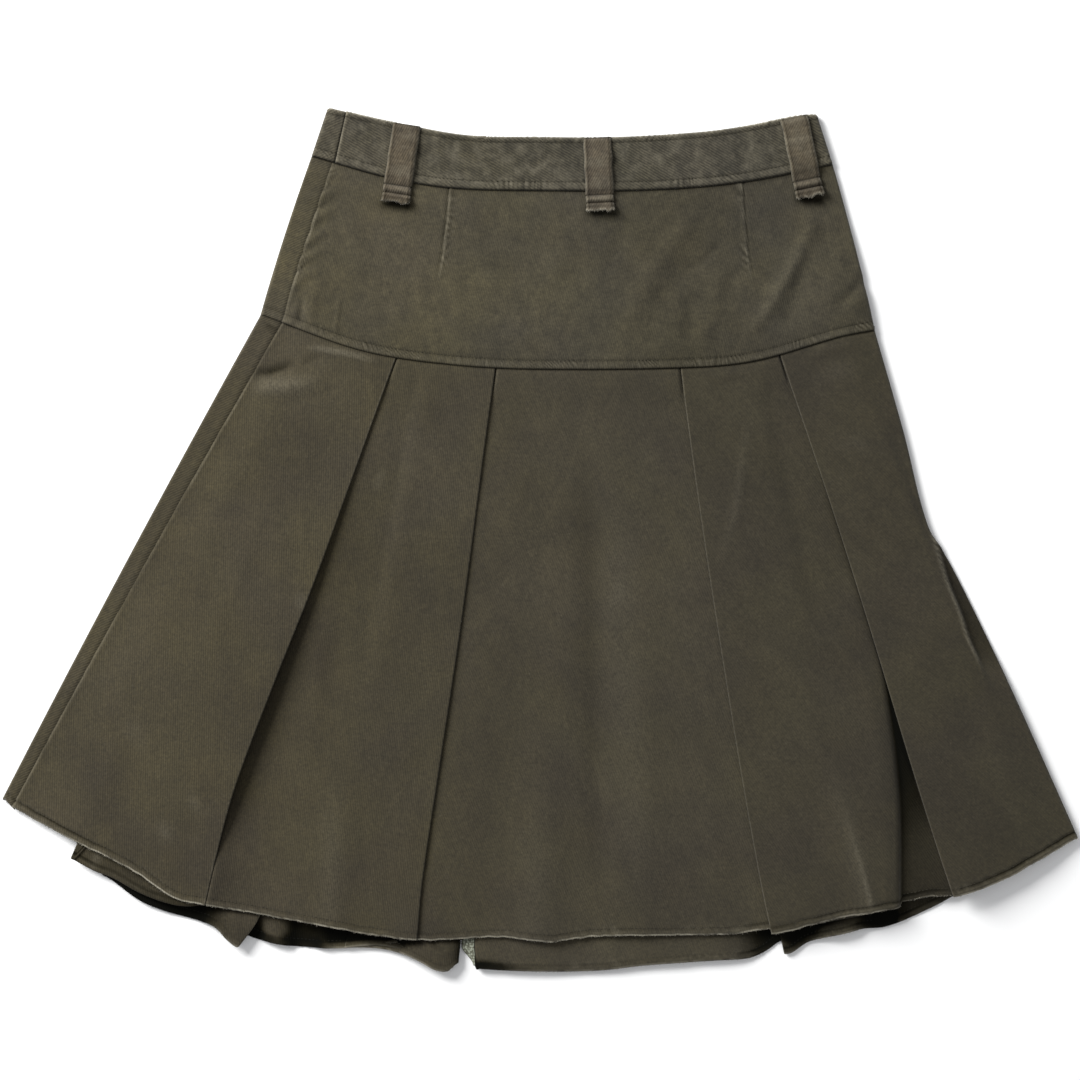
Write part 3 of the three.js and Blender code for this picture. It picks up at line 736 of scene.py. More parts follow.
def lay_out(walk, t, wall, upper, lower):
    """Lays a piece's cloth through its walk."""
    t = t.reshape(-1, 1)
    strips = []
    for i, item in enumerate(walk):
        if isinstance(item, Fold):
            strips.append(None)
            continue
        start, end = item.start, item.end
        fold_before = i > 0 and isinstance(walk[i - 1], Fold)
        fold_after = i + 1 < len(walk) and isinstance(walk[i + 1], Fold)
        if fold_before:
            start = set_in(walk[i - 1], walk[i - 2], item, wall, upper, lower)
        if fold_after:
            end = set_in(walk[i + 1], item, walk[i + 2], wall, upper, lower)
        low_down = np.array([[0.6]])
        width = float(np.mean(np.abs(end(low_down) - start(low_down))))
        share = np.linspace(0, 1, max(2, round(width / item.spacing)) + 1)
        close = [gap / width for gap in (0.7, 1.6) if gap < 0.8 * item.spacing]
        share = np.array(sorted({*share, *close, *(1 - c for c in close)}))
        if i > 0 and not fold_before:
            share = share[1:]
        strips.append(spread(item, start, end, t, share.reshape(1, -1), upper, lower))
    worn, panels = [], []
    for i, item in enumerate(walk):
        if isinstance(item, Lay):
            columns = strips[i][0].shape[1]
            worn += [0.0] * columns
            panels += [item.panel] * columns
            continue
        before, after = [a[:, -1:] for a in strips[i - 1]], [a[:, :1] for a in strips[i + 1]]
        share = (np.arange(1, item.steps) / item.steps).reshape(1, -1)
        x, drop, z, top, bottom = (lerp(a, b, share) for a, b in zip(before, after))
        middle, half = (before[2] + after[2]) / 2, (before[2] - after[2]) / 2
        x = x + item.points * np.abs(half) * np.sin(math.pi * share)
        z = middle + half * np.cos(math.pi * share)
        strips[i] = (x, drop, z, top, bottom)
        columns = item.steps - 1
        worn += [item.worn] * columns
        panels += [walk[i - 1].panel] * (columns // 2)
        panels += [walk[i + 1].panel] * (columns - columns // 2)
    x, drop, z, top, bottom = (np.hstack(a) for a in zip(*strips))
    return Cloth(x, drop, z, t, drop - top, bottom - drop, panels, np.array(worn))


def points_of(cloth):
    return np.stack([cloth.x, WAIST_Y - cloth.drop, cloth.z], axis=-1)


def unit(vectors):
    return vectors / np.maximum(np.linalg.norm(vectors, axis=-1, keepdims=True), 1e-9)


def normals_of(points):
    return unit(np.cross(np.gradient(points, axis=0), np.gradient(points, axis=1)))


# No piece lies closer to the table than this
LOWEST = 0.02


def put_object(name, data):
    made = bpy.data.objects.new(name, data)
    bpy.context.scene.collection.objects.link(made)
    return made


def put_mesh(name, vertices, faces, material, uv=None, wear_and_shade=None):
    """A mesh object from arrays: vertices in millimetres, and faces of one size, which are turned to
    point outwards. Nothing goes below the table."""
    corners = [vertices[faces[:, k]] for k in range(faces.shape[1])]
    fans = [(corners[0], *pair) for pair in zip(corners[1:], corners[2:])]
    if sum(np.einsum("ij,ij->", a, np.cross(b, c)) for a, b, c in fans) < 0:
        faces = faces[:, [0, *range(faces.shape[1] - 1, 0, -1)]]
    mesh = bpy.data.meshes.new(name)
    mesh.vertices.add(len(vertices))
    lifted = np.maximum(vertices, [-np.inf, -np.inf, LOWEST])
    mesh.vertices.foreach_set("co", (lifted * MM).astype(np.float32).ravel())
    count, sides = faces.shape
    mesh.loops.add(count * sides)
    mesh.loops.foreach_set("vertex_index", faces.ravel().astype(np.int32))
    mesh.polygons.add(count)
    mesh.polygons.foreach_set("loop_start", np.arange(0, count * sides, sides, dtype=np.int32))
    mesh.polygons.foreach_set("use_smooth", np.ones(count, bool))
    mesh.update(calc_edges=True)
    mesh.materials.append(material)
    if uv is not None:
        layer = mesh.uv_layers.new(name="grain")
        layer.data.foreach_set("uv", (uv[faces.ravel()] * MM).astype(np.float32).ravel())
    if wear_and_shade is not None:
        layer = mesh.color_attributes.new("wear_and_shade", "FLOAT_COLOR", "POINT")
        layer.data.foreach_set("color", np.clip(wear_and_shade, 0, 1).astype(np.float32).ravel())
    return put_object(name, mesh)


def by_panel(cloth, table, otherwise):
    """A number for each column of a cloth, from a table of numbers by panel."""
    return np.array([table.get(panel, otherwise) for panel in cloth.panels]).reshape(1, -1)


def shell(name, cloth, wall, material, wear_and_shade, thin_edge=0.75):
    """A closed wall of cloth either side of its middle surface, with soft edges."""
    points = points_of(cloth)
    normals = normals_of(points)
    rows, across = cloth.x.shape
    half = np.full((rows, across, 1), wall / 2)
    half[0], half[-1], half[:, 0], half[:, -1] = (wall / 2 * thin_edge,) * 4
    border = [(0, c) for c in range(across - 1)]
    border += [(r, across - 1) for r in range(rows - 1)]
    border += [(rows - 1, c) for c in range(across - 1, 0, -1)]
    border += [(r, 0) for r in range(rows - 1, 0, -1)]
    at = tuple(np.array(border).T)
    down, along = unit(np.gradient(points, axis=0)), unit(np.gradient(points, axis=1))
    out = np.zeros((rows, across, 3))
    out[0] -= down[0]
    out[-1] += down[-1]
    out[:, 0] -= along[:, 0]
    out[:, -1] += along[:, -1]

    def on_both(upper, lower, rim):
        """Values for the wall's upper face, its lower one and its rim."""
        return np.vstack([upper.reshape(-1, upper.shape[-1]), lower.reshape(-1, lower.shape[-1]), rim])

    rim = points[at] + unit(out[at]) * wall * 0.3
    vertices = on_both(points + normals * half, points - normals * half, rim)
    back = rows * across
    index = np.arange(back).reshape(rows, across)
    corners = [index[:-1, :-1], index[1:, :-1], index[1:, 1:], index[:-1, 1:]]
    outer = np.stack([c.ravel() for c in corners], axis=1)
    loop, rim_index = index[at], 2 * back + np.arange(len(border))
    following, rim_next = np.roll(loop, -1), np.roll(rim_index, -1)
    upper_rim = np.stack([loop, following, rim_next, rim_index], axis=1)
    lower_rim = np.stack([rim_index, rim_next, following + back, loop + back], axis=1)
    faces = np.vstack([outer, outer[:, ::-1] + back, upper_rim, lower_rim])

    slant = np.radians(90 - by_panel(cloth, RIB_SLANT, 90))
    x, y = points[..., 0], points[..., 1]
    uv = [x * np.cos(slant) - y * np.sin(slant), x * np.sin(slant) + y * np.cos(slant)]
    uv = np.stack(uv, axis=-1)
    ribs = by_panel(cloth, RIB_DEPTH, 0.25)
    wear_and_shade = np.stack(np.broadcast_arrays(*wear_and_shade, ribs), axis=-1)
    uv, wear_and_shade = on_both(uv, uv, uv[at]), on_both(wear_and_shade, wear_and_shade, wear_and_shade[at])
    return put_mesh(name, vertices, faces, material, uv, wear_and_shade)


def declare(piece, nodes):
    """Says what a finished piece rides on and replaces."""
    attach(piece, "root")
    if nodes:
        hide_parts(*nodes)


# ---- the skirt's shape


class Shape:
    """Heights of the laid-out layers, from the sizes."""

    BAND_HEIGHT = 4.8
    BAND_FLOOR = 1.05
    YOKE_AT_BAND = 3.05
    FRONT_BASE = 4.4
    GAP_LOFT = 0.9
    TUCK = 4.0

    def __init__(self, sizes):
        self.cloth = sizes.cloth / MM
        self.band_cloth = sizes.band_cloth / MM
        self.pitches = (sizes.pitch_at_seam / MM, sizes.pitch_at_hem / MM)
        self.slack = sizes.slack
        self.lofts = {panel: curve_through(rows) for panel, rows in LOFTS.items()}
        self.front, self.back = pleat_lines(FRONT_PLEATS), pleat_lines(BACK_PLEATS)
        self.seam, self.left = side_line("skirt", "seam"), side_line("skirt", "left")

    def brink(self, t):
        """The slump's edge, or, higher up, a line just inside the far right fold that hides it."""
        return np.minimum(slump_line(t), self.front["far_right"]["fold"](t) - 5)

    def pitch(self, t):
        return lerp(self.pitches[0], self.pitches[1], np.clip(t, 0, 1))

    def across_hem(self, x, t):
        """Where a place would be if it were moved down to the hem, keeping its share of the width."""
        left, right = self.left(t), right_flare(t)
        return lerp(-HALF_WIDTH, HALF_WIDTH, (x - left) / (right - left))

    def rise(self, t):
        return self.slack * ease(0.22, 1.0, t) ** 1.3

    def loft(self, panel, x, t):
        """How far a panel stands up. A springs up early and settles again at the hem."""
        rise = self.rise(t)
        if panel == "A":
            rise = 0.83 * self.slack * ease(0.06, 0.7, t) ** 1.1 * (1 - 0.46 * ease(0.78, 1.0, t))
        return rise * self.lofts[panel](self.across_hem(x, t))

    # Height of the seam between yoke and skirt, which lies on the sewn stack of pleats
    def seam_level(self, x):
        return self.FRONT_BASE + 2 * self.pitches[0] * ease(-200, -168, x) * (1 - ease(226, 254, x))

    def at_seam(self, x, drop, t, height, mask):
        """Brings the visible cloth up to the seam level near the yoke, and dips it into the seam."""
        below = drop - yoke_seam(x)
        held = mask * (1 - ease(2, 34, below))
        height = lerp(height, np.maximum(height, self.seam_level(x)), held)
        return height - 0.36 * (1 - ease(0, 2.0, below))

    def reach(self, t):
        """How far from a fold the cloth that runs in under it starts to sink: least at the seam."""
        return lerp(1.8, 14, ease(0.03, 0.16, t))

    def relief(self, x, drop, t):
        """Creases and the small unevenness of washed cloth."""
        down = ease(0, 0.3, t)
        small = 0.32 * noise(x, drop * 0.5, 46, 3) + 0.16 * noise(x, drop * 0.7, 19, 4)
        fine = 0.05 * noise(x, drop, 7, 5)
        return creases(x, drop, SKIRT_CREASES) + down * small + fine

    def hem_roll(self, x, to_hem):
        """The stay-stitching near the raw hem pulls in a groove, and the edge beyond it curls."""
        drawn = hem_groove(x)
        to_hem = to_hem + 0.5 * noise(x, 0, 12, 10) + 0.25 * noise(x, 0, 4, 11)
        deep = (0.12 + 0.6 * drawn) * (1 + 0.5 * noise(x, 0, 34, 7))
        groove = -deep * bell(to_hem - STAY_STITCH, 1.1)
        curl = (0.12 + 0.4 * noise(x, 0, 24, 8)) * (1 - ease(0.3, 3.0, to_hem))
        roll = 0.5 * drawn * (1 + 0.5 * noise(x, 0, 6, 13)) * bell(to_hem - 1.7, 1.3)
        return groove + curl + roll + 0.2 * puckers(x, to_hem - STAY_STITCH, 5.5, 3.5, 9)

    # Visible stretches of the front, from left to right

    def low_b(self, x, drop, t):
        """B as it runs on to the left, under A. Beside A's fold it dips, and comes up at the hem."""
        fold = self.front["far_left"]["fold"](t)
        meets = 3.6 * ease(0.76, 0.95, t) * bell(x - fold + 4, 26)
        return self.FRONT_BASE + self.loft("B", x, t) + meets * self.slack

    def low_c(self, x, drop, t):
        return self.FRONT_BASE + self.loft("C", x, t)

    def low_d(self, x, drop, t):
        return self.FRONT_BASE + self.GAP_LOFT * self.rise(t)

    def over_pleat(self, height, low, t, share):
        """Keeps a panel above the two layers that its pleat puts on the low one."""
        return lerp(height, higher(height, low + 2 * self.pitch(t)), share)

    def finished(self, height, x, drop, t, mask=1):
        """A panel's height with its creases and its hem."""
        to_hem = front_hem(self.across_hem(x, t)) - drop
        return height + mask * self.relief(x, drop, t) + self.hem_roll(x, to_hem)

    def top_a(self, x, drop, t):
        seam, inner = self.seam(t), self.front["far_left"]["inner"](t)
        stack = 2 * self.pitch(t) * ease(seam + 2, inner - 2, x)
        height = self.FRONT_BASE + self.loft("A", x, t) + stack
        height = self.over_pleat(height, self.low_b(x, drop, t), t, ease(inner - 8, inner, x))
        height = self.at_seam(x, drop, t, height, ease(-200, -172, x))
        past = x - seam
        height = height - 0.55 * (1 - ease(0, 1.5, past)) + 0.16 * bell(past - 1.8, 0.9)
        height += 0.34 * puckers(drop, past - 2, 7, 4.5, 31)
        return self.finished(height, x, drop, t)

    def top_b(self, x, drop, t):
        fold, inner = self.front["far_left"]["fold"](t), self.front["left"]["inner"](t)
        over = ease(inner - 16, inner, x)
        height = self.low_b(x, drop, t) + over * self.pitch(t) * 2 * (1 - ease(0.2, 0.6, t))
        height = self.over_pleat(height, self.low_c(x, drop, t), t, over)
        # Near the hem it comes up beside A's fold to meet it
        past = x - fold
        height += 2.2 * ease(0.82, 0.94, t) * ease(-0.1, 1.0, past) * bell(past, 10)
        height = self.at_seam(x, drop, t, height, ease(1, self.reach(t), past))
        return self.finished(height, x, drop, t)

    def top_c(self, x, drop, t):
        b, d = self.front["left"]["fold"](t), self.front["right"]["fold"](t)
        mask = ease(b + 1, b + self.reach(t), x) * (1 - ease(d - self.reach(t), d - 1, x))
        height = self.at_seam(x, drop, t, self.low_c(x, drop, t), mask)
        return self.finished(height, x, drop, t, mask)

    def top_d(self, x, drop, t):
        inner, fold = self.front["right"]["inner"](t), self.front["far_right"]["fold"](t)
        slump = slump_line(t)
        off = ease(slump - 3.2, slump + 1.4, x)
        height = self.FRONT_BASE + self.loft("D", x, t)
        # Above the slump the cloth comes down where the pleat inside it ends, and below it stays up
        down = inner + lerp(1, np.maximum(slump - inner - 14, 1), ease(0.42, 0.6, t))
        height += 2 * self.pitch(t) * (1 - ease(down, down + 15, x))
        over = 1 - ease(inner - 4, inner + 3, x)
        height = self.over_pleat(height, self.low_c(x, drop, t), t, over)
        height = lerp(height, self.low_d(x, drop, t), off)
        height = self.at_seam(x, drop, t, height, 1 - ease(fold - self.reach(t), fold - 1, x))
        return self.finished(height, x, drop, t, 1 - 0.7 * off)

    def top_e(self, x, drop, t):
        inner = self.front["far_right"]["inner"](t)
        stack = 2 * self.pitch(t) * (1 - ease(inner, right_flare(t) - 3, x))
        height = self.FRONT_BASE + self.loft("E", x, t) + stack
        over = 1 - ease(inner, inner + 8, x)
        height = self.over_pleat(height, self.low_d(x, drop, t), t, over)
        height = self.at_seam(x, drop, t, height, 1 - ease(226, 252, x))
        past = off_sliver(x, drop)
        reach = ease(285, 330, drop) * (1 - ease(372, 428, drop))
        height += reach * (0.7 * bell(past, 2.0) - 2.8 * ease(0, 3.2, past))
        return self.finished(height, x, drop, t)

    def middle(self, low, top, inner, fold):
        """The layer inside a front pleat, a pitch above the low one at its inner edge and a pitch
        below the top one at its fold."""

        def height(x, drop, t):
            share = np.clip((x - inner(t)) / (fold(t) - inner(t)), 0, 1)
            under = low(x, drop, t) + self.pitch(t)
            return lerp(under, top(x, drop, t) - self.pitch(t), share * share * (3 - 2 * share))

        return height

    def back_low(self, x, drop, t):
        near_hem = ease(-44, -22, drop - back_low_hem(x))
        return self.cloth / 2 + 0.05 + near_hem * back_low_wave(x) + self.back_curl(x, drop, back_low_hem)

    def back_top(self, x, drop, t):
        """The upper layer rises in waves only once it is clear of the front's hem."""
        near_hem = ease(-40, -20, drop - back_top_hem(x))
        clear = ease(-1.5, 8, drop - front_hem(x))
        wave = back_top_wave(x)
        wave = np.where(wave > 0, wave * clear, wave) * near_hem
        return self.cloth / 2 + 0.05 + 2 * self.pitch(t) + wave + self.back_curl(x, drop, back_top_hem)

    def back_curl(self, x, drop, hem):
        """The raw edge of the back turns up here and there."""
        at_edge = ease(-5.5, -0.5, drop - hem(x)) * ease(0, 6, drop - front_hem(x))
        size = 1.9 * ease(-172, -158, x) * (1 - ease(-112, -100, x)) + 0.35 + 0.3 * noise(x, 0, 17, 14)
        return at_edge * size

    def left_strip(self, x, drop, t):
        """The back where it wraps over the left edge and meets the front's seam."""
        under = 1.0 * ease(self.seam(t) - 0.6, self.seam(t) + 0.8, x)
        roll = 0.25 * bell(x - self.seam(t) + 2.6, 1.6)
        small = 0.25 * noise(x, drop * 0.5, 30, 12)
        return self.FRONT_BASE - 0.1 + self.loft("A", x, t) - under + roll + small * ease(0, 0.2, t)


def front_skirt_walk(s):
    far_left, left, right, far_right = (s.front[n] for n in FRONT_PLEATS)

    def short_hem(x):
        """The hem steps up where the cloth has dropped into the pleat, and meets the next fold's."""
        return front_hem(x) - 3.4 * ease(272.5, 276, x) * (1 - ease(296, 312, x))

    def stepped_hem(x):
        """C's hem is drawn up a little where it runs in under D."""
        return front_hem(x) - 2.6 * ease(140, 176, x)

    def dropped_hem(x):
        return front_hem(x) + 1.2 * (1 - ease(178, 204, x))

    def inside_hem(x):
        """The layer inside the far left pleat stops above the front's hem, but for its two ends."""
        tucked = ease(-355, -343, x) * (1 - ease(-263, -256, x))
        return lerp(underlay_hem(x), front_hem(x) - 2.5, tucked)

    seen, hidden = 2.7, 11
    past_brink = moved(s.brink, 2.4)
    near_right = moved(right_flare, -21)

    def left_pleat(pleat, low, top, worn, inside, under_panel, hems=(None, None)):
        """Round the fold, back under it to the inner edge, and out again on the low layer."""
        fold, inner = pleat["fold"], pleat["inner"]
        return [
            Fold(fold, 1, worn=worn),
            Lay(fold, inner, s.middle(low, top, inner, fold), "inside", inside[0], hem=hems[0]),
            Fold(inner, -1),
            Lay(inner, fold, low, under_panel, inside[1], hem=hems[1]),
        ]

    def right_pleat(name, low, top, worn):
        """In on the low layer to the inner edge, back to the fold, and round it."""
        fold, inner = s.front[name]["fold"], s.front[name]["inner"]
        drops = (float(front_hem(FRONT_PLEATS[name]["fold"][1])), FRONT_PLEATS[name]["inner_drop"])
        return [
            Lay(fold, inner, low, "inside", hidden, drops),
            Fold(inner, 1),
            Lay(inner, fold, s.middle(low, top, inner, fold), "inside", hidden, drops[::-1]),
            Fold(fold, -1, worn=worn),
        ]

    return [
        Lay(moved(s.seam, 0.15), far_left["fold"], s.top_a, "A", seen),
        *left_pleat(far_left, s.low_b, s.top_a, 0.9, (5, 4), "underlay", (inside_hem, underlay_hem)),
        Lay(far_left["fold"], left["fold"], s.top_b, "B", seen),
        *left_pleat(left, s.low_c, s.top_b, 0.5, (hidden, hidden), "inside"),
        Lay(left["fold"], right["fold"], s.top_c, "C", seen, hem=stepped_hem),
        *right_pleat("right", s.low_c, s.top_d, 0.5),
        Lay(right["fold"], s.brink, s.top_d, "D", seen, hem=dropped_hem),
        Lay(s.brink, past_brink, s.top_d, "D", 0.8, hem=short_hem),
        Lay(past_brink, far_right["fold"], s.top_d, "D", seen, hem=short_hem),
        *right_pleat("far_right", s.low_d, s.top_e, 0.4),
        Lay(far_right["fold"], near_right, s.top_e, "E", seen),
        Lay(near_right, right_flare, s.top_e, "E", 1.15),
        Fold(right_flare, 1, 8, 0.35),
        Lay(right_flare, moved(right_flare, -RIGHT_WRAP), s.back_low, "E", 6,
            (float(front_hem(RIGHT_FLARE[-1][1])), RIGHT_SEAM_DROP)),
    ]


def back_skirt_walk(s):
    far_left, left, right, far_right = (s.back[n] for n in BACK_PLEATS)

    clear, seen, coarse = 9, 2.5, 5.5
    low, top = back_low_hem, back_top_hem

    def inside(pleat):
        """The layer inside a pleat, and its hem, a little short of the one that covers it."""
        fold, inner = pleat["fold"], pleat["inner"]
        a, b = sorted((float(fold(1.0)), float(inner(1.0))))

        def hem(x):
            return back_top_hem(x) - 3 * np.sin(math.pi * np.clip((x - a) / (b - a), 0, 1))

        return s.middle(s.back_low, s.back_top, fold, inner), hem

    def left_pleat(pleat, panel):
        """Along the top layer to its far edge, back to the fold, and on along the low layer."""
        fold, inner = pleat["fold"], pleat["inner"]
        layer, hem = inside(pleat)
        return [
            Lay(fold, inner, s.back_top, "flap", seen, hem=top),
            Fold(inner, 1),
            Lay(inner, fold, layer, panel, coarse, hem=hem),
            Fold(fold, -1),
            Lay(fold, inner, s.back_low, panel, coarse, hem=low),
        ]

    def right_pleat(pleat, panel, spacing, low_hem):
        fold, inner = pleat["fold"], pleat["inner"]
        layer, hem = inside(pleat)
        return [
            Lay(inner, fold, s.back_low, panel, coarse, hem=low_hem or hem),
            Fold(fold, 1),
            Lay(fold, inner, layer, panel, coarse, hem=hem),
            Fold(inner, -1),
            Lay(inner, fold, s.back_top, "flap", spacing, hem=top),
        ]

    def step(a, b, rising):
        """Cloth that climbs onto a stack of pleat layers, or comes down off it."""

        def height(x, drop, t):
            share = np.clip((x - a(t)) / (b(t) - a(t)), 0, 1)
            share = ease(0, 1, share if rising else 1 - share)
            return lerp(s.back_low(x, drop, t), s.back_top(x, drop, t), share)

        return height

    rise_left = moved(far_left["fold"], -clear)
    rise_middle = moved(left["fold"], -clear)
    ease_right = moved(right["fold"], clear)
    # The middle's own left edge, a short step right of the pleat that covers its top
    edge, past_edge = line((-14, -50.7)), line((-13.6, -49.3))
    wrap_end = moved(right_flare, -RIGHT_WRAP - 0.3)
    return [
        Lay(moved(s.seam, 1.9), s.left, s.left_strip, "strip", 1.6, (LEFT_SEAM_DROP + 1, 503.2)),
        Fold(s.left, -1, 8, 0.25),
        Lay(s.left, rise_left, s.back_low, "A", coarse, hem=low),
        Lay(rise_left, far_left["fold"], step(rise_left, far_left["fold"], True), "A", coarse, hem=low),
        *left_pleat(far_left, "B"),
        Lay(far_left["inner"], rise_middle, s.back_low, "B", seen, hem=low),
        Lay(rise_middle, left["fold"], step(rise_middle, left["fold"], True), "B", seen, hem=low),
        *left_pleat(left, "C"),
        Lay(left["inner"], edge, s.back_low, "C", seen, hem=low),
        Lay(edge, past_edge, s.back_low, "C", 0.8, hem=low),
        Lay(past_edge, right["inner"], s.back_low, "C", seen, hem=low),
        *right_pleat(right, "C", seen, low),
        Lay(right["fold"], ease_right, step(right["fold"], ease_right, False), "flap", seen, hem=top),
        Lay(ease_right, far_right["inner"], s.back_low, "flap", seen, hem=top),
        *right_pleat(far_right, "D", coarse, None),
        Lay(far_right["fold"], wrap_end, step(far_right["fold"], wrap_end, False), "E", 2.4,
            (float(back_top_hem(BACK_PLEATS["far_right"]["fold"][1])), RIGHT_SEAM_DROP)),
    ]


def front_yoke_height(s):
    def height(x, drop, t):
        level = s.seam_level(x) + s.cloth + 0.15
        rise = ease(0.25, 0.9, t)
        z = lerp(s.YOKE_AT_BAND, level, rise)
        to_seam = yoke_seam(at_yoke_seam(x, t)) - drop
        free = ease(0.0, 0.12, t) * ease(4, 16, to_seam)
        z += free * (0.45 * noise(x, drop, 52, 21) + 0.15 * noise(x, drop, 20, 22))
        z += free * 0.5 + 1.35 * creases(x, drop, YOKE_CREASES) * ease(2, 10, to_seam)
        for dart in DARTS:
            z += dart_relief(x, drop, dart)
        # Puckers between the topstitching and the seam, and a groove along the stitches
        z += 0.44 * puckers(x, to_seam - 4.0, 3.1, 3.8, 23) * (1 - ease(9, 15, to_seam))
        z -= 0.22 * bell(to_seam - YOKE_STITCH, 0.9)
        z += 0.14 * bell(to_seam - 3.0, 1.8) - 0.3 * (1 - ease(0, 1.4, to_seam))
        return z + 0.1 * puckers(x, drop - band_seam(x) - 2, 6.5, 8, 25) * ease(0.0, 0.03, t)

    return height


def at_yoke_seam(x, t):
    """Where a place on the yoke comes to at its lower seam, keeping its share of the width."""
    left, right = line(SIDES["yoke"]["seam"]), line(SIDES["yoke"]["right"])
    return lerp(left(1.0), right(1.0), (x - left(t)) / (right(t) - left(t)))


def beside_dart(x, drop, dart):
    """Distance from a dart's stitched line, from it towards the side that its fold is pressed to,
    which is its own side of the middle, and the puckers on that side."""
    xs, drops = zip(*dart)
    away = x - np.interp(drop, drops, xs)
    pressed = away if xs[0] < 0 else -away
    return away, pressed, puckers(drop, pressed - 3.4, 6.0, 3.6, int(abs(xs[0])))


def dart_relief(x, drop, dart):
    """A stitched dart: a sharp groove with the folded cloth beside it, and puckers up its length."""
    away, pressed, ripples = beside_dart(x, drop, dart)
    start, tip = dart[0][1], dart[-1][1]
    fade = ease(start - 12, start - 2, drop) * (1 - ease(tip - 26, tip + 4, drop))
    lip = 0.42 * bell(pressed - 2.2, 1.7) + 0.12 * bell(pressed + 2.4, 2)
    return fade * (lip - 0.5 * bell(away, 0.8) + 0.55 * ripples)


def wrapped(panel, seam, left, right, front, strip, under, insets, spacings, worn):
    """The walk of a front, from the left seam and round the right edge, and that of a back, from the
    seam and round the left edge. What lies against the table is flat, under being its height."""
    end = moved(right, -RIGHT_WRAP)

    def flat(x, drop, t):
        return under

    front_walk = [
        Lay(moved(seam, insets[0]), right, front, panel, spacings[0]),
        Fold(right, 1, 8, worn),
        Lay(right, end, flat, panel, spacings[1]),
    ]
    back_walk = [
        Lay(moved(seam, insets[1]), left, strip, "strip", spacings[2]),
        Fold(left, -1, 8, worn),
        Lay(left, moved(end, insets[2]), flat, panel, spacings[3]),
    ]
    return front_walk, back_walk


def yoke_walks(s):
    seam, left, right = (side_line("yoke", side) for side in ("seam", "left", "right"))
    front = front_yoke_height(s)

    def edge_of_front(x, drop, t):
        past = x - seam(t)
        roll = 0.14 * bell(past - 1.8, 0.9) - 0.5 * (1 - ease(0, 1.5, past))
        tugs = 0.95 * puckers(drop, past - 3, 19, 9, 27) * ease(0.05, 0.2, t)
        tugs = tugs + 0.3 * puckers(drop, past - 2, 6, 4, 28)
        return front(x, drop, t) + roll + tugs

    def strip(x, drop, t):
        under = 1.0 * ease(seam(t) - 0.6, seam(t) + 0.8, x)
        return front(np.minimum(x, seam(t)), drop, t) - 0.15 - under

    spacings, under = (1.25, 5, 1.4, 3.4), s.cloth / 2 + 0.05
    insets = (0.15, 1.9, -0.3)
    return wrapped("yoke", seam, left, right, edge_of_front, strip, under, insets, spacings, 0.3)


def band_walks(s):
    seam, left, right = (side_line("band", side) for side in ("seam", "left", "right"))

    def surface(x, drop, t):
        to_seam, to_top = band_seam(x) - drop, drop - top_edge(x)
        z = s.BAND_HEIGHT + 0.3 * noise(x, drop, 40, 41) + 0.14 * noise(x, drop, 13, 42)
        z += creases(x, drop, BAND_CREASES)
        # Roping: the doubled edge twists into slanting ridges above its row of stitches
        slant = x + 0.8 * to_top
        z += 0.55 * puckers(slant, to_top - 1.5, 3.6, 2.4, 43)
        z -= 0.32 * bell(to_top - BAND_UPPER_STITCH, 0.8)
        z += 0.55 * puckers(x, to_seam - 4.0, 3.4, 4.0, 44)
        z -= 0.22 * bell(to_seam - BAND_LOWER_STITCH, 0.8)
        return z - 0.5 * (1 - ease(0, 2.0, to_top)) - 0.35 * (1 - ease(0, 1.6, to_seam))

    def front_surface(x, drop, t):
        past = x - seam(t)
        ridge_by_seam = 0.3 * bell(past - 1.6, 1.1) - 0.5 * (1 - ease(0, 1.2, past))
        return surface(x, drop, t) + ridge_by_seam + 0.12 * puckers(drop, past - 1.5, 3.4, 3, 45)

    def strip(x, drop, t):
        return surface(x, drop, t) - 0.15 - 0.45 * ease(seam(t) - 1.4, seam(t), x)

    insets, spacings = (0.45, -0.45, -0.6), (1.15, 4, 1.3, 3)
    return wrapped("band", seam, left, right, front_surface, strip, s.BAND_FLOOR, insets, spacings, 0.5)


def band_cloths(s):
    t = stations(40, 0.95, 1.6, 0.95, margin=8)
    front_walk, back_walk = band_walks(s)

    def roped_edge(x):
        return top_edge(x) + 0.28 * puckers(x, 0, 3.6, 2.4, 43)

    front = lay_out(front_walk, t, s.band_cloth, roped_edge, moved(band_seam, -0.1))
    return front, lay_out(back_walk, t, s.band_cloth, moved(roped_edge, 0.5), moved(band_seam, -0.1))


def yoke_cloths(s):
    t = stations(136, 1.4, 2.6, 1.2, margin=13, tuck=s.TUCK)
    return [lay_out(walk, t, s.cloth, band_seam, moved(yoke_seam, -0.1)) for walk in yoke_walks(s)]


def skirt_cloths(s):
    t = stations(436, 2.0, 5.5, 1.25, margin=10, tuck=s.TUCK, gathers=(62, 2.6))
    front = lay_out(front_skirt_walk(s), t, s.cloth, yoke_seam, front_hem)
    t = stations(436, 2.0, 5.0, 1.4, margin=10, tuck=s.TUCK)
    back = lay_out(back_skirt_walk(s), t, s.cloth, yoke_seam, back_top_hem)
    return front, back
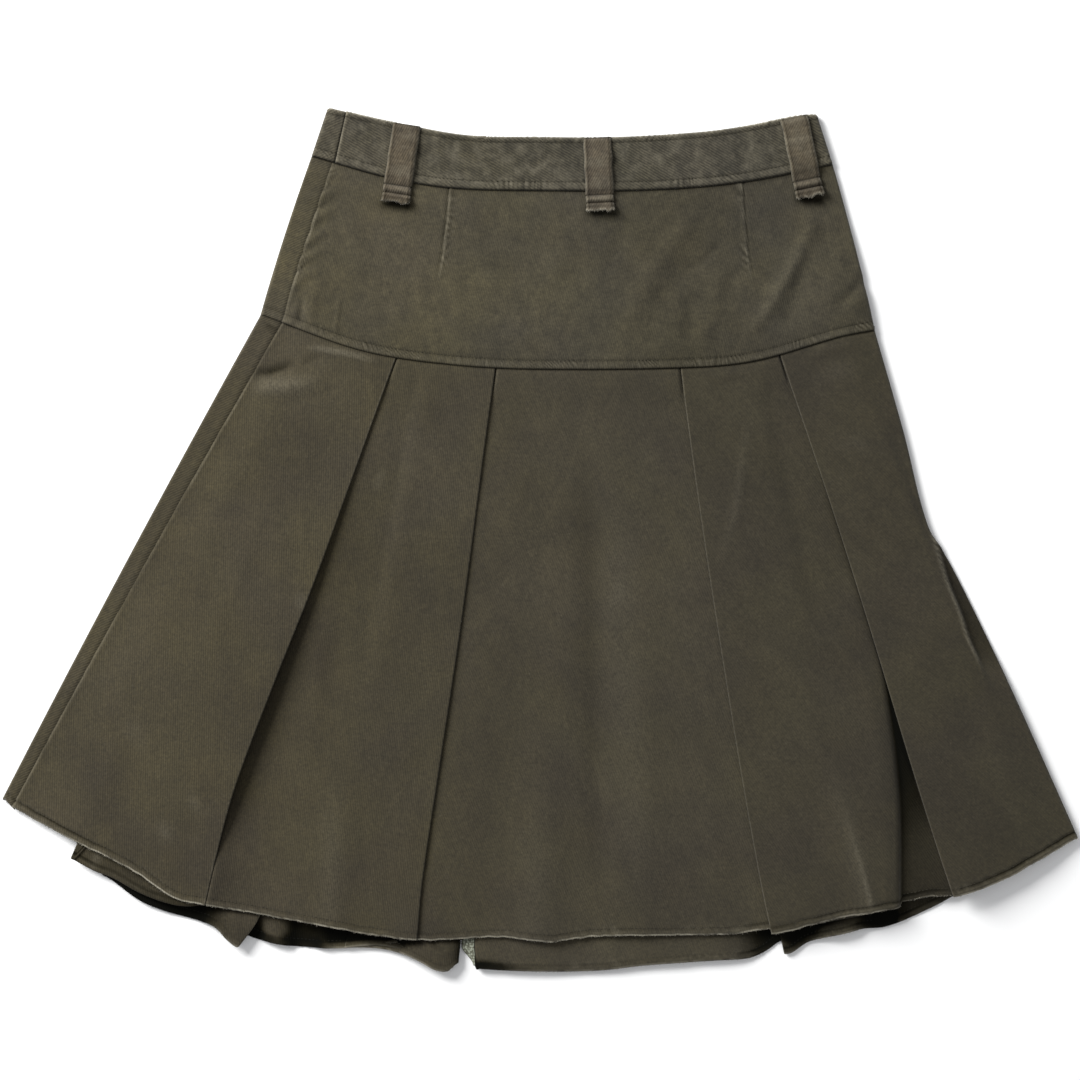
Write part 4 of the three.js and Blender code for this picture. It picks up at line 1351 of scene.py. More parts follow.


# ---- wear and painted shade on the cloth

# Rubbed places, and painted shade in creases, troughs and corners, each a line of (x, drop, strength) with
# a width, in the same way
SCUFFS = [
    ([(-186, 346), (-181, 353, 0.22), (-172, 356)], 4),
    ([(-292, 520), (-284, 528, 0.18), (-276, 531)], 5),
    ([(-266, 496), (-262, 505, 0.16), (-258, 516)], 4),
    ([(-320, 440), (-308, 452, 0.1), (-300, 470)], 7),
    ([(-118, 250), (-123, 262, 0.16), (-128, 270)], 3),
    ([(62, 330), (60, 346, 0.1), (52, 360)], 5),
    ([(-22, 21), (-16, 27, 0.5), (-10, 22, 0.3), (-4, 27, 0.5), (4, 20, 0.2)], 1.8),
    ([(8, 22), (12, 27, 0.4), (16, 22)], 1.8),
    ([(-88, 24), (-80, 30, 0.25), (-60, 31, 0.3), (-46, 34, 0.2), (-30, 33)], 3.5),
    ([(-76, 8), (-66, 16, 0.2), (-50, 20, 0.15), (-40, 12)], 4),
    ([(-126, 4), (-120, 14, 0.22), (-114, 22)], 3),
    ([(-142, 24), (-139, 18, 0.35), (-136, 12)], 3),
    ([(150, 24), (156, 22, 0.2), (164, 20)], 3),
    ([(229, 504), (236, 528, 0.14), (244, 556, 0.36), (251, 584, 0.4)], 1.5),
    ([(222, 470), (238, 540, 0.13), (248, 584, 0.13)], 8),
    ([(160, 205), (152, 258, 0.12), (149, 284, 0.14), (136, 325)], 2.6),
    ([(206, 186), (226, 178, 0.12), (246, 176)], 7),
    ([(212, 236), (240, 232, 0.1), (256, 240)], 5),
    ([(-178, 160), (-168, 161, 0.4), (-150, 164, 0.5), (-134, 168, 0.3), (-122, 170)], 1.9),
    ([(-222, 190), (-206, 190, 0.27), (-186, 189, 0.27), (-164, 186)], 6),
    ([(205, 71), (194, 95, 0.12), (173, 131, 0.13), (160, 148)], 4),
    ([(-336, 541, 0.3), (-337, 548, 0.4), (-340, 558, 0.4)], 0.9),
    ([(-158, 480), (-158, 540, 0.1), (-160, 590, 0.1)], 9),
    ([(-1, 480), (-1, 560, 0.07), (-1, 600, 0.07)], 12),
    ([(54, 250), (60, 320, 0.07), (64, 420, 0.08), (70, 520, 0.06), (76, 600)], 14),
]
# Painted shade in creases, troughs and corners
PAINTED_SHADES = [
    ([(-216, 179.5), (-206, 178.5, 0.75), (-194, 174.5, 0.6), (-184, 170)], 2.6),
    ([(-210, 142), (-206, 144, 0.6), (-201, 146, 0.5), (-198, 148)], 1.4),
    ([(236, 120), (246, 128, 0.18), (250, 140)], 6),
    ([(206, 58), (212, 70, 0.12), (216, 84)], 6),
    ([(26, 230), (34, 300, 0.1), (36, 420, 0.12), (38, 520, 0.08), (40, 590)], 10),
]


def pucker_wear_and_shade(ripples):
    """Puckers rub pale on their tops, and painted shade lies between them: (worn, painted shade)."""
    return 0.46 * np.maximum(ripples, 0), 0.55 * np.maximum(-ripples, 0)


def hem_shade(cloth, rows):
    """How dark the painted shade on the back is between the front's hem and its own, from (x, upper,
    lower, turn) rows.
    """
    keys, upper, lower, turn = (np.array(column, float) for column in zip(*rows))
    x, below = cloth.x, cloth.drop - front_hem(cloth.x)
    down = below / np.maximum(below + cloth.to_hem, 1)
    turns = np.interp(x, keys, turn)
    change = ease(turns - 0.13, turns + 0.13, down)
    return lerp(np.interp(x, keys, upper), np.interp(x, keys, lower), change)


# Panels painted darker: D and E as painted shade where the light falls off to the right, and the underlay
# and the pleats' insides as painted shade inside the pleats
SHADED_PANELS = {"D": 0.09, "E": 0.1, "underlay": 0.22, "inside": 0.35}


def columns_of(cloth, *names):
    """1 for each column that belongs to one of these panels, 0 for the others."""
    return by_panel(cloth, dict.fromkeys(names, 1.0), 0.0)


def skirt_wear_and_shade(cloth):
    """How worn and frayed the skirt is, and where shade is painted on it, front or back."""
    x, drop, to_hem = cloth.x, cloth.drop, cloth.to_hem
    speckle = 0.5 + 0.5 * noise(x + 3 * drop, drop, 6, 61)
    # Folds rub pale where they lie tight, near the seam and at the hem
    tight = 0.4 + 0.6 * (1 - ease(0.1, 0.26, cloth.t)) + 0.5 * ease(0.86, 0.95, cloth.t)
    rims = cloth.edge.reshape(1, -1)
    rims = np.maximum(rims, 0.75 * np.roll(rims, -1) * columns_of(cloth, "A"))
    at_seam = 1 - ease(0.02, 0.06, cloth.t)
    rims = np.maximum(rims, at_seam * np.roll(rims, 1) * columns_of(cloth, "D", "E"))
    worn = 0.6 * rims * tight * (0.35 + 0.65 * speckle)
    worn += creases(x, drop, SCUFFS) + 0.2 * bell(to_hem - 2.0, 1.1) * speckle
    worn += 0.3 * np.maximum(puckers(x, to_hem - STAY_STITCH, 5.5, 3.0, 9), 0)
    torn = np.clip(0.66 + 0.55 * noise(x, drop, 3, 62) + 0.4 * noise(x, 0, 17, 66), 0.1, 1)
    # The far left corner of the hem kept its colour
    torn = torn * (0.3 + 0.7 * ease(-362, -344, x))
    raw = (1 - ease(0.25, 1.25, to_hem)) * torn * (1 - columns_of(cloth, "underlay", "inside"))
    # Painted shade along the stay-stitch groove, in creases and corners, under the yoke's edge, and on the
    # panels painted darker
    groove = (0.1 + 0.42 * hem_groove(x)) * (1 + 0.5 * noise(x, 0, 20, 63))
    shade_and_dye = groove * bell(to_hem - STAY_STITCH, 1.1) + creases(x, drop, PAINTED_SHADES)
    shade_and_dye += 0.85 * (1 - ease(-0.8, 0.5, cloth.to_top))
    return worn, shade_and_dye + by_panel(cloth, SHADED_PANELS, 0.0), raw


def front_wear_and_shade(s, cloth):
    worn, shade_and_dye, raw = skirt_wear_and_shade(cloth)
    x, drop, t = cloth.x, cloth.drop, cloth.t
    # Painted shadow on the cloth that dropped into the far right pleat, darkest under the slump's edge
    slump = slump_line(t)
    in_gap = columns_of(cloth, "D") * ease(slump - 1.5, slump + 2, x)
    depth = np.interp(t, [0.5, 0.6, 0.78, 0.86, 0.92, 1], [0, 0.75, 0.75, 0.6, 0.42, 0.4])
    depth = depth * (1 + 0.3 * np.exp(-np.maximum(x - slump, 0) / 5))
    to_e = np.maximum(s.front["far_right"]["fold"](t) - x, 0)
    shade_and_dye += in_gap * depth * (1 - 0.5 * np.exp(-to_e / 8) * ease(0.82, 0.9, t))
    # Painted shade on B beside A's fold
    to_fold = np.maximum(x - s.front["far_left"]["fold"](t), 0)
    beside_a = ease(0.12, 0.3, t) * (1 - ease(0.74, 0.93, t))
    shade_and_dye += 0.24 * columns_of(cloth, "B") * np.exp(-to_fold / 26) * beside_a
    # Painted shade on the underlay towards its hem, where A's hem overhangs it
    underlay = columns_of(cloth, "underlay")
    shade_and_dye += 0.3 * underlay * ease(-345, -270, x) * ease(7, 1.5, cloth.to_hem)
    # The left side seam is rubbed in patches. The line where the far right panel bends is rubbed pale and
    # painted as a highlight, with painted shade on the cloth just outside it
    patchy = np.clip(0.5 + 1.1 * noise(drop, 0, 16, 64), 0.1, 1)
    worn += 0.42 * columns_of(cloth, "A") * bell(x - s.seam(t) - 1.2, 0.5) * patchy
    past = off_sliver(x, drop)
    on_sliver = ease(292, 306, drop) * (1 - ease(386, 408, drop))
    worn += 0.9 * on_sliver * bell(past, 1.15)
    shade_and_dye += 0.32 * on_sliver * ease(0.8, 2.4, past)
    # A thin line of painted shadow where D runs in under the far right fold
    crack = ease(0.2, 0.3, t) * (1 - ease(0.72, 0.8, t)) * np.exp(-to_e / 1.6)
    return worn, shade_and_dye + 0.45 * columns_of(cloth, "D") * crack, raw


def back_wear_and_shade(cloth):
    worn, shade_and_dye, raw = skirt_wear_and_shade(cloth)
    # Painted shade on the back where it shows below the front's hem, in the front's shadow
    low, top = (hem_shade(cloth, rows) for rows in (BACK_LOW_SHADE, BACK_TOP_SHADE))
    shade = lerp(low, top, columns_of(cloth, "flap"))
    shade_and_dye += (1 - columns_of(cloth, "strip")) * shade
    return worn + 0.045 * columns_of(cloth, "C"), shade_and_dye, raw * 0.5


def yoke_wear_and_shade(cloth, is_front):
    x, drop, to_hem = cloth.x, cloth.drop, cloth.to_hem
    speckle = 0.5 + 0.5 * noise(x, drop, 4, 65)
    rubbed, dark = pucker_wear_and_shade(puckers(x, to_hem - 4.0, 3.1, 3.4, 23))
    worn = rubbed + 0.5 * cloth.edge.reshape(1, -1) * speckle + creases(x, drop, SCUFFS)
    worn += 0.2 * bell(to_hem - 2.4, 1.6) * speckle
    # Painted shade between puckers, along the stitches, along the seam and under the band's edge, and in
    # creases
    shade_and_dye = dark + 0.3 * bell(to_hem - YOKE_STITCH, 0.8) + 0.6 * (1 - ease(0, 0.9, to_hem))
    shade_and_dye += 0.9 * (1 - ease(-0.4, 1.1, cloth.to_top)) + creases(x, drop, PAINTED_SHADES)
    # The yoke is darker to the right of the middle
    shade_and_dye += 0.15 * bell(x - 112, 52)
    if not is_front:
        return worn, shade_and_dye, 0 * x
    # Painted shadow on the yoke just below each loop's raised end, darker where less of the end's yarn is
    # pale
    for place in LOOPS.values():
        end_x, end_drop = place["end"]
        dark = 1.05 - 0.5 * place["pale"]
        under = [(end_x - 7.5, end_drop + 0.5, dark), (end_x + 8, end_drop + 2.5, dark)]
        shade_and_dye += ridge(x, drop, under, 4.4)
    # Darts: rubbed pale on the pressed side, with painted shade in the groove and between the puckers
    for dart in DARTS:
        away, pressed, ripples = beside_dart(x, drop, dart)
        sewn = 1 - ease(dart[-1][1] - 18, dart[-1][1], drop)
        rubbed, dark = pucker_wear_and_shade(ripples)
        worn += sewn * (0.7 * bell(pressed - 1.4, 0.7) * (0.3 + 0.7 * speckle) + rubbed)
        shade_and_dye += sewn * (0.5 * bell(away, 0.7) + 0.8 * dark)
    past = x - side_line("yoke", "seam")(cloth.t)
    # The side seam: rubbed pale in patches, with painted shade between its puckers
    rubbed, dark = pucker_wear_and_shade(puckers(drop, past - 2, 6, 3, 28))
    patchy = np.clip(0.5 + 1.1 * noise(drop, 0, 12, 67), 0.1, 1)
    return worn + 0.5 * bell(past - 1.2, 0.5) * patchy + rubbed, shade_and_dye + dark, 0 * x


def band_wear_and_shade(cloth, is_front):
    x, drop, to_top, to_hem = cloth.x, cloth.drop, cloth.to_top, cloth.to_hem
    speckle = 0.5 + 0.5 * noise(x, drop, 3.2, 71)
    worn = 0.4 * cloth.edge.reshape(1, -1) * speckle + 0.7 * (1 - ease(0.3, 2.4, to_top)) * speckle**2
    fuzzy = np.maximum(noise(x, drop, 8, 72), 0) + np.maximum(noise(x, drop, 3.5, 74), 0)
    worn += 0.2 * bell(to_hem - 3.2, 2.4) * speckle + creases(x, drop, SCUFFS) + 0.24 * fuzzy
    # Painted shade along both rows of stitches, along the lower edge, and between puckers and ropes
    shade_and_dye = 0.5 * bell(to_top - BAND_UPPER_STITCH, 0.8) + 0.3 * bell(to_hem - BAND_LOWER_STITCH, 0.7)
    shade_and_dye += 0.5 * (1 - ease(0, 0.8, to_hem))
    rubbed, dark = pucker_wear_and_shade(puckers(x, to_hem - 4.0, 3.4, 3.6, 44))
    roped, between = pucker_wear_and_shade(puckers(x + 0.8 * to_top, to_top - 1.5, 3.6, 2.4, 43))
    worn, shade_and_dye = worn + rubbed + 1.3 * roped, shade_and_dye + dark + 1.4 * between
    frayed = ease(-150, -140, x) * (1 - ease(-112, -104, x)) + ease(150, 160, x)
    raw = 0.5 * (1 - ease(0, 1.1, to_top)) * (0.4 + 0.6 * frayed)
    if is_front:
        edge = 0.75 * bell(x - side_line("band", "seam")(cloth.t) - 1.1, 0.7)
        worn += edge * (0.6 + 0.4 * noise(drop, drop, 3, 73))
    return worn, shade_and_dye, raw


# ---- stitches and fray


def row_across(cloth, distance, wall, side, from_top, columns):
    """A line on a piece's surface at a distance from its upper or lower edge."""
    gap = cloth.to_top if from_top else cloth.to_hem
    points = points_of(cloth)
    normals = normals_of(points)
    surface = points + side * normals * wall / 2
    rows, normal_rows = [], []
    for c in columns:
        order = np.argsort(gap[:, c])
        keys = gap[order, c]
        rows.append([np.interp(distance, keys, surface[order, c, k]) for k in range(3)])
        normal_rows.append([np.interp(distance, keys, normals[order, c, k]) for k in range(3)])
    return np.array(rows), side * unit(np.array(normal_rows))


def resample(path, normals, step):
    """Points and normals at even steps along a path."""
    gaps = np.linalg.norm(np.diff(path, axis=0), axis=1)
    total = np.concatenate([[0], np.cumsum(gaps)])
    at = np.arange(0, total[-1], step)
    points = np.stack([np.interp(at, total, path[:, k]) for k in range(3)], axis=1)
    turned = np.stack([np.interp(at, total, normals[:, k]) for k in range(3)], axis=1)
    return points, unit(turned)


def repeated(faces, count, each):
    """The faces of one small thing, for each of a row of them with this many vertices."""
    return (np.array(faces)[None] + (np.arange(count) * each)[:, None, None]).reshape(-1, 3)


def ring(centres, u, v, sides, radius, girth):
    """A ring of points round each centre, in the plane of two directions."""
    angles = np.arange(sides) * 2 * math.pi / sides
    turned = u[:, None] * np.cos(angles)[:, None] + v[:, None] * np.sin(angles)[:, None]
    return centres[:, None] + turned * radius * girth


def stitch_mesh(starts, ends, normals, radius):
    """Plump little stitches from start to end, sunk at both ends. Returns vertices and triangles."""
    # Rings along a stitch: (share of its length, girth, how far it stands up)
    rings = ((0, 0, -0.5), (0.16, 0.8, -0.1), (0.5, 1.0, 0.35), (0.84, 0.8, -0.1), (1, 0, -0.5))
    sides = 5
    along = ends - starts
    across = unit(np.cross(normals, along))
    vertices = []
    for share, girth, lift in rings:
        centre = starts + along * share + normals * radius * lift
        whole = ring(centre, across, normals, sides, radius, girth)
        vertices.append(whole if girth else centre[:, None])
    vertices = np.concatenate(vertices, axis=1)
    faces = []
    first, last = 0, 1 + sides * 3
    for k in range(sides):
        n = (k + 1) % sides
        faces.append((first, 1 + n, 1 + k))
        for level in range(2):
            a, b = 1 + level * sides, 1 + (level + 1) * sides
            faces += [(a + k, a + n, b + n), (a + k, b + n, b + k)]
        faces.append((last, 1 + 2 * sides + k, 1 + 2 * sides + n))
    return vertices.reshape(-1, 3), repeated(faces, *vertices.shape[:2])


def sew_along(path, normals, stitch, thread, rng):
    """Stitches end to end along a path, with a short sunk gap between them."""
    gap = 0.18 * stitch
    points, ups = resample(path, normals, stitch + gap)
    starts, steps = points[:-1], np.diff(points, axis=0)
    ends = starts + steps * stitch / (stitch + gap)
    jitter = rng.normal(0, 0.05, (len(starts), 3)) * np.array([1, 1, 0])
    return stitch_mesh(starts + jitter, ends + jitter, ups[:-1], thread / 2)


def unbroken(columns):
    """Column numbers split into runs that lie side by side."""
    runs = np.split(np.asarray(columns), np.flatnonzero(np.diff(columns) > 1) + 1)
    return [run for run in runs if len(run) > 1]


def facing_up(cloth, names, any_way=False):
    """Columns of the named panels whose outside, or inside, can be seen from above."""
    normals = normals_of(points_of(cloth))[cloth.x.shape[0] // 2]
    return [c for c, p in enumerate(cloth.panels) if p in names and (any_way or normals[c, 2] > 0.3)]


def darkness(vertices, shade):
    """How much painted shade small parts get: one number, or what the back's shade rows say at its own
    hem.
    """
    if isinstance(shade, list):
        keys, _, lower, _ = zip(*shade)
        return np.interp(vertices[:, 0], keys, lower)
    return np.full(len(vertices), float(shade))


def put_small(name, parts, shades, material):
    """Stitches or yarns as one piece, from (vertices, faces) parts, each with its shade."""
    faces, offset = [], 0
    for vertices, part_faces in parts:
        faces.append(part_faces + offset)
        offset += len(vertices)
    dark = np.concatenate([darkness(part[0], shade) for part, shade in zip(parts, shades)])
    wear_and_shade = np.stack([0 * dark, dark, 0 * dark, 0 * dark], axis=1)
    vertices = np.vstack([part[0] for part in parts])
    declare(put_mesh(name, vertices, np.vstack(faces), material, None, wear_and_shade), [])


def fibres(roots, out, up, longest, radius, rng, droop=0.5):
    """Loose curling yarns, three-sided and pointed, standing out from an edge."""
    count = len(roots)
    side = unit(np.cross(out, up))
    lean = rng.normal(0, 0.75, (count, 1))
    raise_by = rng.normal(0.05, 0.35, (count, 1))
    first = unit(out + side * lean + up * raise_by)
    bend = rng.normal(0, 0.8, (count, 1))
    second = unit(first + side * bend - up * droop * rng.uniform(0, 1, (count, 1)))
    size = longest * (0.25 + 0.75 * rng.uniform(0, 1, (count, 1)) ** 1.8)
    base = roots - out * 0.3
    middle = base + first * size * 0.5
    tip = middle + second * size * 0.5
    rings = []
    for centre, direction, girth in ((base, first, 1.0), (middle, second, 0.8)):
        u = unit(np.cross(direction, up))
        rings.append(ring(centre, u, np.cross(direction, u), 3, radius, girth))
    vertices = np.concatenate([*rings, tip[:, None]], axis=1)
    faces = [(0, 2, 1)]
    for k in range(3):
        n = (k + 1) % 3
        faces += [(k, n, 3 + n), (k, 3 + n, 3 + k), (3 + k, 3 + n, 6)]
    vertices = vertices.reshape(-1, 3)
    vertices[:, 2] = np.maximum(vertices[:, 2], radius)
    return vertices, repeated(faces, count, 7)


def fray_along(cloth, wall, every, longest, radius, rng, columns, row=-1):
    """Loose yarns along a piece's lower edge, or its upper one (row 0), at the columns given."""
    points = points_of(cloth)
    edge, above = points[row, columns], points[-3 if row else 2, columns]
    normals = normals_of(points)[row, columns]
    path, out = resample(edge, unit(edge - above), every)
    _, ups = resample(edge, normals, every)
    path += rng.normal(0, 0.2, path.shape) * wall
    path += ups * rng.uniform(-0.4, 0.4, (len(path), 1)) * wall
    return fibres(path, out, ups, longest, radius, rng)


# ---- belt loops


def loop_strap(s, sizes, top, end, pale):
    """A belt loop's middle surface, from the band's edge over the band and the seam to its raw end, with
    its wear, painted shade and thickness."""
    across, down = end[0] - top[0], end[1] - top[1]
    long, wide, strap = math.hypot(across, down), sizes.loop_width / MM, sizes.strap_cloth / MM
    share = np.linspace(0, 1, 74).reshape(-1, 1)
    u = np.linspace(-0.5, 0.5, 23).reshape(1, -1)
    along, off, edge = share * long, u * wide, np.abs(u) + 0 * share
    on_band = s.BAND_HEIGHT + s.band_cloth / 2 + 0.35 + strap / 2
    on_yoke = s.YOKE_AT_BAND + s.cloth / 2 + 0.45 + strap / 2
    seed = int(abs(top[0]))
    z = lerp(on_band, on_yoke + 0.5, ease(0.62, TACK, share))
    z = z + 1.3 * np.sin(math.pi * np.clip(share / TACK, 0, 1)) - 0.9 * (1 - ease(0, 0.06, share))
    # Past the tack the strap folds once across, then its raw end stands up off the yoke
    z = z + 1.5 * bell(share - STRAP_FOLD, 0.03) - 0.6 * bell(share - TACK, 0.018)
    lifted = 2.6 + 0.7 * noise(off, 0, 7, seed + 6)
    z = z + lifted * ease(0.87, 0.99, share) - 0.7 * bell(share - STRAP_CREASE, 0.018)
    # Three folded layers make a faint hollow down the middle, and the edges roll under
    z = z + 0.25 * bell(edge - 0.4, 0.06) - 0.35 * ease(0.44, 0.5, edge)
    z = z + 0.16 * noise(along, off, 6, seed + 2)
    z = z + 0.24 * noise(along * 2.2, 0, 5, seed + 3)
    widen = 1 + 0.05 * ease(0.84, 1.0, share) + 0.015 * noise(share * 50, 0, 9, seed)
    side = off * widen + 0.35 * noise(share * 60, u, 8, seed + 1)
    frayed = 0.022 * noise(off, 0, 1.7, seed + 4) - 0.02 * ease(0.3, 0.5, edge)
    step = along * (1 + ease(0.95, 1.0, share) * frayed)
    x = top[0] + across / long * step + down / long * side
    drop = top[1] + down / long * step - across / long * side
    to_top, to_end = along + 0 * x, (1 - share) * long + 0 * x
    columns = x.shape[1]
    cloth = Cloth(x, drop, z, share, to_top, to_end, ["loop"] * columns, np.zeros(columns))

    band = 0.5 + 0.5 * noise(along, 0, 7, seed + 5)
    worn = 0.8 * ease(0.445, 0.475, edge) * (0.4 + 0.7 * band)
    worn += 0.65 * bell(share - STRAP_FOLD, 0.02) * band
    worn += 0.34 * np.maximum(noise(along, u * 9, 9, seed + 8), 0)
    worn += 0.2 * np.maximum(noise(along, off, 3.5, seed + 10), 0)
    raw = pale * ease(0.968, 1.0, share) * (0.55 + 0.6 * noise(off, along, 1.8, seed + 7))
    # A dark bar tack, and painted shade in the crease, at the band's edge, beside the fold, in the raw
    # end's recess and along both edges
    shade_and_dye = 0.75 * bell(share - TACK, 0.012) + 0.7 * bell(share - STRAP_CREASE, 0.018)
    shade_and_dye = shade_and_dye + 0.4 * (1 - ease(0, 0.03, share)) + 0.4 * bell(share - 0.945, 0.02)
    uneven = 0.7 + 0.5 * noise(off, along, 2.2, seed + 9)
    shade_and_dye = shade_and_dye + (0.7 - pale) * ease(0.93, 0.98, share) * uneven
    shade_and_dye = shade_and_dye + 0.48 * bell(edge - 0.4, 0.022) + 0.3 * ease(0.488, 0.5, edge)
    return cloth, (worn, shade_and_dye, raw), strap


# ---- operators


class SKIRT_OT_stage(bpy.types.Operator):
    """Pale floor, soft light from the upper left, and a camera straight above"""

    bl_idname = "skirt.stage"
    bl_label = "Stage"
    bl_options = {"REGISTER", "UNDO"}

    def execute(self, context):
        scene, colours = context.scene, settings()[1]
        bpy.ops.object.select_all(action="DESELECT")
        bpy.ops.mesh.primitive_plane_add(size=14, location=(0, 0, -0.0003))
        floor = context.object
        floor.name = "floor"
        # Matt white paper: a fine tooth that scatters all the light and gives no gloss
        material, tree = new_material("Matt white paper")
        grain = add(tree, "TexNoise", {}, {"Scale": 900.0, "Detail": 2.0}).outputs["Fac"]
        inputs = {"Height": grain, "Strength": 0.05, "Distance": 0.2 * MM}
        inputs = {"Normal": add(tree, "Bump", {}, inputs).outputs["Normal"]}
        inputs |= {"Base Color": colours.floor, "Roughness": 0.95, "Specular IOR Level": 0.1}
        shader = add(tree, "BsdfPrincipled", {}, inputs)
        add(tree, "OutputMaterial", {}, {"Surface": shader.outputs[0]})
        floor.data.materials.append(material)

        world = bpy.data.worlds.new("Soft room")
        scene.world = world
        world.use_nodes = True
        background = world.node_tree.nodes["Background"]
        background.inputs["Color"].default_value = (*linear("#fbfcff"), 1)
        background.inputs["Strength"].default_value = 0.5

        place = (-1.95, 1.6, 1.4)
        light = bpy.data.lights.new("key", "AREA")
        light.size, light.energy = 1.35, 165
        lamp = put_object("key", light)
        lamp.location = place
        lamp.rotation_euler = (-Vector(place)).to_track_quat("-Z", "Y").to_euler()

        camera = bpy.data.cameras.new("camera")
        camera.lens, camera.sensor_width = 85, 36
        view = put_object("camera", camera)
        seen_width = 0.8208
        view.location = (0, 0.0004, 0.007 + seen_width * camera.lens / camera.sensor_width)
        scene.camera = view
        scene.view_settings.view_transform = "Standard"
        return {"FINISHED"}


class SKIRT_OT_skirt(bpy.types.Operator):
    """Front and back skirt panels with their knife pleats"""

    bl_idname = "skirt.skirt"
    bl_label = "Pleated skirt"
    bl_options = {"REGISTER", "UNDO"}

    def execute(self, context):
        sizes, colours = settings()
        s = Shape(sizes)
        front, back = skirt_cloths(s)
        material = twill("Garment-washed cotton twill", 0.16, 0.1, colours.faded, colours.dyed)
        piece = shell("front_skirt_panels", front, s.cloth, material, front_wear_and_shade(s, front))
        declare(piece, ["front_skirt"])
        piece = shell("back_skirt_panels", back, s.cloth, material, back_wear_and_shade(back))
        declare(piece, ["back_skirt"])
        return {"FINISHED"}


class SKIRT_OT_seam_allowance(bpy.types.Operator):
    """The overlocked seam allowance that peeps out inside the back's left pleat"""

    bl_idname = "skirt.seam_allowance"
    bl_label = "Seam allowance"
    bl_options = {"REGISTER", "UNDO"}

    def execute(self, context):
        t = np.linspace(0, 1, 15).reshape(-1, 1)
        u = np.linspace(0, 1, 8).reshape(1, -1)
        # It narrows to a point at the hem, leaning on the middle's own edge
        left = lerp(-59.5, -50.6, ease(0.5, 1.04, t))
        x = lerp(left, -50.0, u) + 0.3 * np.sin(9 * t)
        drop = 600 + 30.5 * t - 3.5 * u * (1 - t)
        z = 1.2 + 2.4 * u + 0.25 * np.sin(14 * t)
        columns = x.shape[1]
        cloth = Cloth(x, drop, z, t, 0 * x, 0 * x, ["C"] * columns, np.zeros(columns))
        # Pale overlocking covers it: close loops of thread, with twill between them
        loops = ("TexVoronoi", {"Scale": 1 / (1.7 * MM), "Randomness": 0.8})
        material = thready(
            "Overlocked seam allowance", loops, (0.25, 0.65), settings()[1].overlock,
            linear("#4f4f42"), (*loops, 0.6, 0.4 * MM),
            {"Roughness": 0.85, "IOR": 1.5, "Specular IOR Level": 0.3},
        )
        piece = shell("back_seam_allowance", cloth, 0.5, material, (0 * x, 0 * x, 0 * x), 0.5)
        declare(piece, [])
        return {"FINISHED"}


class SKIRT_OT_yokes(bpy.types.Operator):
    """Front and back hip yokes, the front with two stitched darts"""

    bl_idname = "skirt.yokes"
    bl_label = "Yokes"
    bl_options = {"REGISTER", "UNDO"}

    def execute(self, context):
        s = Shape(settings()[0])
        name = "Garment-washed cotton twill, hips"
        material = twill(name, 0.16, 0.25, linear("#3d3829"), linear("#332f25"))
        front, back = yoke_cloths(s)
        piece = shell("front_hip_yoke", front, s.cloth, material, yoke_wear_and_shade(front, True))
        declare(piece, ["front_yoke"])
        piece = shell("back_hip_yoke", back, s.cloth, material, yoke_wear_and_shade(back, False))
        declare(piece, ["back_yoke"])
        return {"FINISHED"}


class SKIRT_OT_waistbands(bpy.types.Operator):
    """Front and back halves of the doubled waistband"""

    bl_idname = "skirt.waistbands"
    bl_label = "Waistbands"
    bl_options = {"REGISTER", "UNDO"}

    def execute(self, context):
        s = Shape(settings()[0])
        name = "Garment-washed cotton twill, crosswise"
        material = twill(name, 0.42, 0.34, linear("#3d392e"), linear("#2b281f"), 1.1)
        front, back = band_cloths(s)
        piece = shell("front_waist_band", front, s.band_cloth, material, band_wear_and_shade(front, True), 0.5)
        declare(piece, ["front_waistband"])
        piece = shell("back_waist_band", back, s.band_cloth, material, band_wear_and_shade(back, False), 0.5)
        declare(piece, ["back_waistband"])
        return {"FINISHED"}


class SKIRT_OT_belt_loops(bpy.types.Operator):
    """Three belt loops, tacked below the band with their raw ends standing proud"""

    bl_idname = "skirt.belt_loops"
    bl_label = "Belt loops"
    bl_options = {"REGISTER", "UNDO"}

    def execute(self, context):
        sizes, colours = settings()
        s = Shape(sizes)
        name = "Folded twill strap, rubbed brown"
        material = twill(name, 0.2, 0.3, colours.strap, linear("#3b342a"))
        for node, place in LOOPS.items():
            cloth, wear_and_shade, wall = loop_strap(s, sizes, **place)
            piece = shell(node + "_strap", cloth, wall, material, wear_and_shade, 0.6)
            declare(piece, [node])
        return {"FINISHED"}


